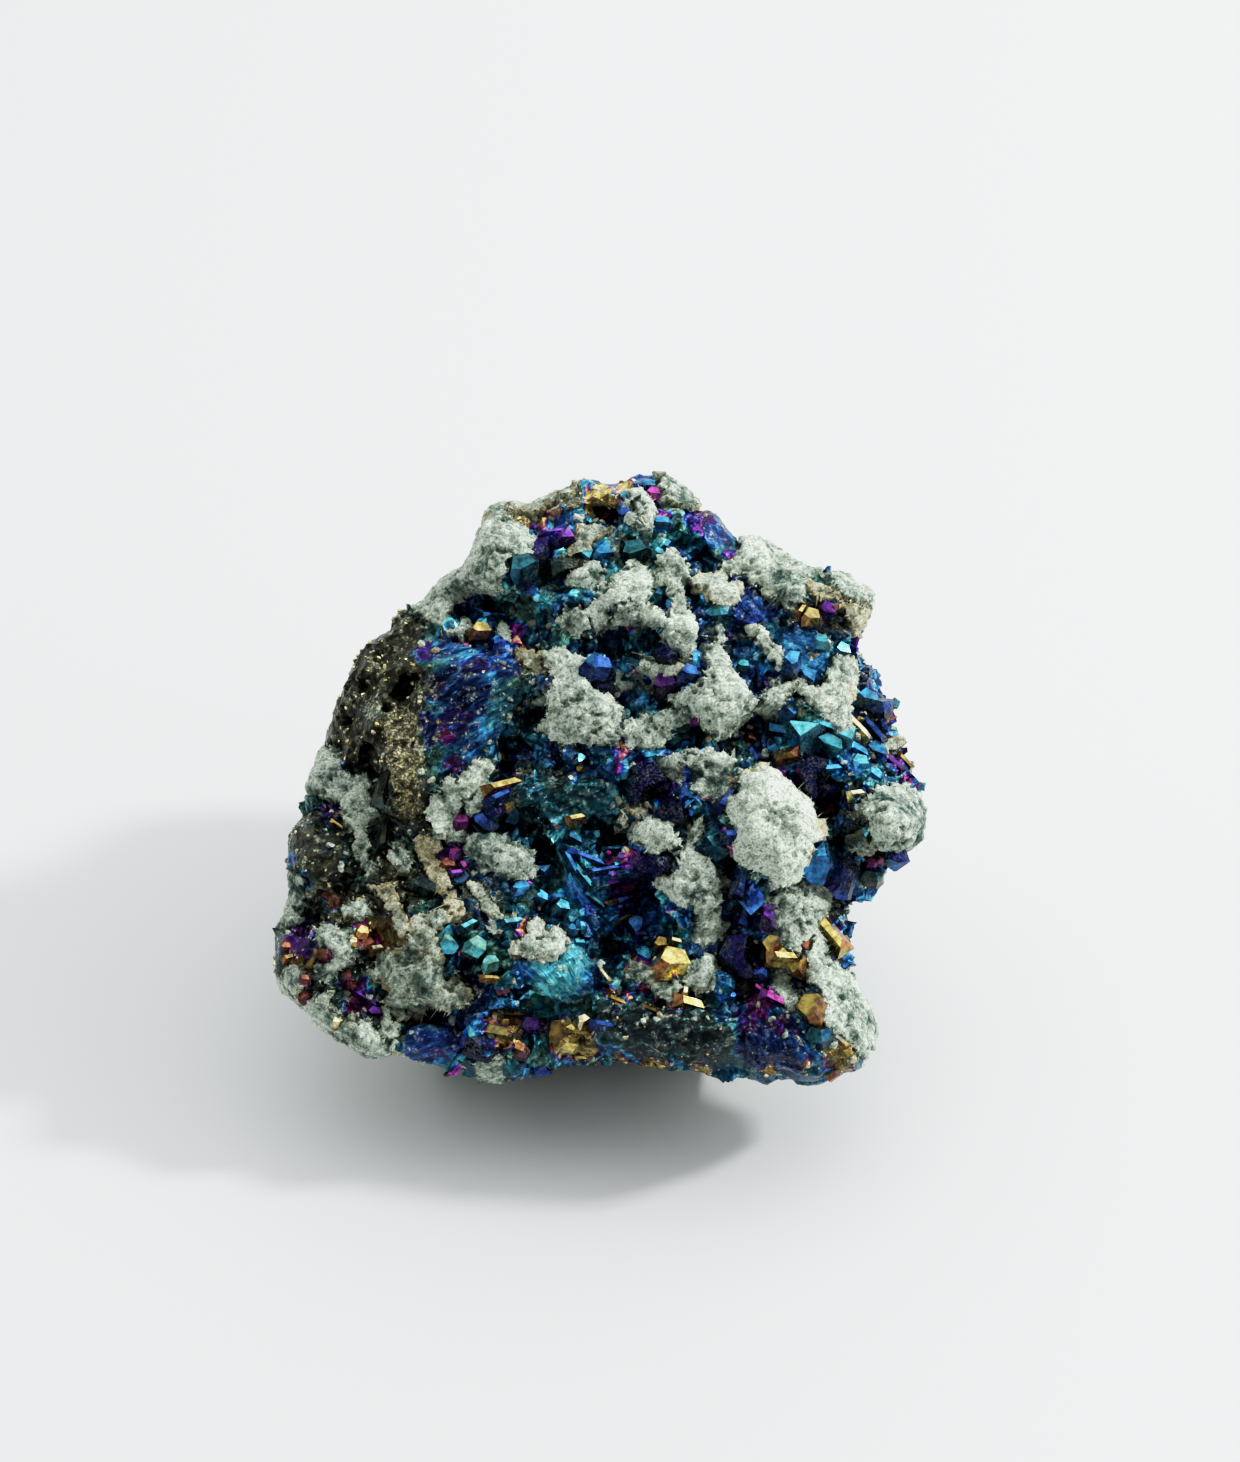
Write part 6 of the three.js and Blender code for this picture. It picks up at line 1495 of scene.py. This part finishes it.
def makeCrumbs():
    heap, chance = CrystalHeap(), random.Random(21)

    def oneTint():
        tint = chance.uniform(*crumbs["pale"]), chance.uniform(*crumbs["warm"])
        return lambda top: tint

    near = aboveFoot & (bodyDepth < 0) & (bodyDepth > -crumbs["reach"])
    for index in chance.sample(list(np.flatnonzero(near)), crumbs["count"]):
        scatter(heap, chance, crumbs, index, oneTint)
    return heap.piece("crust_crumbs", ["pale", "warm"])


def makeTufts():
    # thin needles that stand out along the ragged edges of the crust
    chance = random.Random(33)
    places = np.concatenate([vertexPlaces(upperCrust), vertexPlaces(lowerCrust)])
    normals = np.concatenate([vertexNormals(upperCrust), vertexNormals(lowerCrust)])
    u, v, w = toFace(places)
    depth = insideAny(u, v, plateShapes)[0]
    towardU = depth - insideAny(u + tufts["slopeStep"], v, plateShapes)[0]
    towardV = depth - insideAny(u, v + tufts["slopeStep"], plateShapes)[0]
    onFace = w - rimSlant * v > tufts["outside"]
    edge = np.flatnonzero((crustDepth(places) < tufts["edge"]) & onFace)
    corners, faces = [], []
    for number, index in enumerate(chance.choices(list(edge), k=tufts["count"])):
        outward = towardU[index] * across + towardV[index] * upFace
        outward = outward / (np.linalg.norm(outward) + 1e-6)
        direction = outward + tufts["lean"] * normals[index] + tufts["tip"] * anyDirection(chance)
        length = tufts["short"] + (tufts["long"] - tufts["short"]) * chance.random() ** 2
        thick = tufts["thick"] * chance.uniform(*tufts["thickRange"])
        if number < tufts["hairs"]:
            length, thick = tufts["hairLong"] * chance.uniform(*tufts["hairRange"]), tufts["hairThick"]
        direction /= np.linalg.norm(direction)
        side = np.cross(direction, anyDirection(chance))
        side *= thick / np.linalg.norm(side)
        other = np.cross(direction, side)
        root = places[index] - direction * tufts["root"]
        # a three-sided foot, 0.87 for the height of its triangle, and one tip
        a, b, c, tip = range(4 * number, 4 * number + 4)
        corners += [root + side, root - 0.5 * side + 0.87 * other, root - 0.5 * side - 0.87 * other,
                    root + direction * (length + tufts["root"])]
        faces += [[a, c, b], [a, b, tip], [b, c, tip], [c, a, tip]]
    piece = newPiece("crust_tufts", np.array(corners), faces)
    pale, warm = crustTint(vertexPlaces(piece))
    storeValues(piece, "pale", pale + tufts["pale"])
    storeValues(piece, "warm", warm + tufts["warm"])
    print("crust_tufts", len(faces), "faces")
    return piece


def makeBrassyGrains():
    look, heap, chance = brassyGrains, CrystalHeap(), random.Random(27)

    def glints(top):
        return chance.uniform(*look["film"]), chance.choice(look["bright"])

    left = smoothStep(-toFace(bodyCentres)[0], *look["leftRange"])
    weight = look["everywhere"] + left * (bodyFilm > look["leftAbove"])
    weight = weight + (bodyFilm < look["goldBelow"]) * look["onGold"]
    weight = weight + (bodyFilm > look["bronzeAbove"]) * look["onBronze"]
    weight *= aboveFoot & (bodyDepth < look["crustMost"])
    for index in chance.choices(range(len(weight)), weights=weight, k=look["count"]):
        scatter(heap, chance, look, index, lambda: glints)
    return heap.piece("brassy_grains", ["film", "bright"])


for piece in (makeCrumbs(), makeTufts()):
    settle(piece, feltedGrey)
brassyFinish = tarnishedFaces("brassyGrains", drift=0.03, roughness=0.22, powder=0.0)
settle(makeBrassyGrains(), brassyFinish)
bpy.data.objects.remove(skin)


# floor, light and camera

# floor, key light and the soft room around the lump
studio = {"floorHalf": 1.5, "floorTone": (0.80, 0.815, 0.82, 1), "floorRoughness": 0.6,
          "keyToward": (0.80, 0.16, 0.58), "keyDistance": 0.9, "keySize": 0.10, "keyPower": 4.2,
          "roomTone": (0.97, 0.985, 1, 1), "brightSide": (0.45, 0.35, 0.85), "brightFrom": -0.3,
          "brightTo": 0.8, "roomBright": 1.42, "roomDark": 0.30, "viewerFrom": 0.35, "viewerTo": 0.85,
          "viewerDark": 0.24}
# camera, in millimetres, and the display curve: light in, light shown
lens = {"length": 100.0, "sensor": 36.0, "distance": 397.0, "sideways": 1.95, "upward": 4.79,
        "nearest": 0.01, "curveEnd": 8,
        "curve": [(0.06, 0.07), (0.25, 0.36), (0.6, 0.70), (1.0, 0.89), (2.0, 0.94), (4.0, 0.97)]}


def makeFloor():
    bpy.ops.mesh.primitive_plane_add(size=2 * studio["floorHalf"], location=(0, 0, 0))
    floor = bpy.context.active_object
    floor.name = "floor"
    shader = Shader("paleFloor")
    shader.set(Base_Color=studio["floorTone"], Roughness=studio["floorRoughness"])
    floor.data.materials.append(shader.material)


def aim(obj, place, target):
    obj.location = place
    obj.rotation_euler = (Vector(target) - Vector(place)).to_track_quat("-Z", "Y").to_euler()


def skyRamp(tree, coords, direction, low, high, atLow, atHigh):
    # a soft change of brightness over the sky along one direction
    dot = tree.nodes.new("ShaderNodeVectorMath")
    dot.operation = "DOT_PRODUCT"
    dot.inputs[1].default_value = tuple(Vector(direction).normalized())
    tree.links.new(coords, dot.inputs[0])
    ramp = tree.nodes.new("ShaderNodeMapRange")
    ramp.interpolation_type = "SMOOTHSTEP"
    for name, value in {"From Min": low, "From Max": high, "To Min": atLow, "To Max": atHigh}.items():
        ramp.inputs[name].default_value = value
    tree.links.new(dot.outputs["Value"], ramp.inputs["Value"])
    return ramp.outputs["Result"]


def makeLights():
    toward = Vector(studio["keyToward"]).normalized()
    bpy.ops.object.light_add(type="AREA")
    key = bpy.context.active_object
    key.name = "key"
    key.data.size = studio["keySize"]
    key.data.energy = studio["keyPower"]
    middle = Vector(lumpMiddle * millimetre)
    aim(key, middle + toward * studio["keyDistance"], middle)
    world = bpy.data.worlds.new("softRoom")
    world.use_nodes = True
    bpy.context.scene.world = world
    tree = world.node_tree
    coords = tree.nodes.new("ShaderNodeTexCoord").outputs["Generated"]
    room = skyRamp(tree, coords, studio["brightSide"], studio["brightFrom"], studio["brightTo"],
                   studio["roomDark"], studio["roomBright"])
    viewer = skyRamp(tree, coords, outOfFace, studio["viewerFrom"], studio["viewerTo"], 1.0,
                     studio["viewerDark"])
    strength = tree.nodes.new("ShaderNodeMath")
    strength.operation = "MULTIPLY"
    tree.links.new(room, strength.inputs[0])
    tree.links.new(viewer, strength.inputs[1])
    background = tree.nodes["Background"]
    background.inputs["Color"].default_value = studio["roomTone"]
    tree.links.new(strength.outputs["Value"], background.inputs["Strength"])


def makeCamera():
    bpy.ops.object.camera_add()
    camera = bpy.context.active_object
    camera.name = "camera"
    camera.data.lens = lens["length"]
    camera.data.sensor_width = lens["sensor"]
    camera.data.sensor_fit = "AUTO"
    camera.data.clip_start = lens["nearest"]
    target = lumpMiddle + lens["sideways"] * across + lens["upward"] * upFace
    place = target + lens["distance"] * outOfFace
    aim(camera, place * millimetre, target * millimetre)
    bpy.context.scene.camera = camera
    viewing = bpy.context.scene.view_settings
    viewing.view_transform = "Standard"
    viewing.use_curve_mapping = True
    curve = viewing.curve_mapping
    curve.clip_max_x = lens["curveEnd"]
    curve.extend = "HORIZONTAL"
    points = curve.curves[3].points
    points[-1].location = (lens["curveEnd"], 1)
    for light, shown in lens["curve"]:
        points.new(light, shown)
    curve.update()


makeFloor()
makeLights()
makeCamera()
print("floor, light and camera are in place")
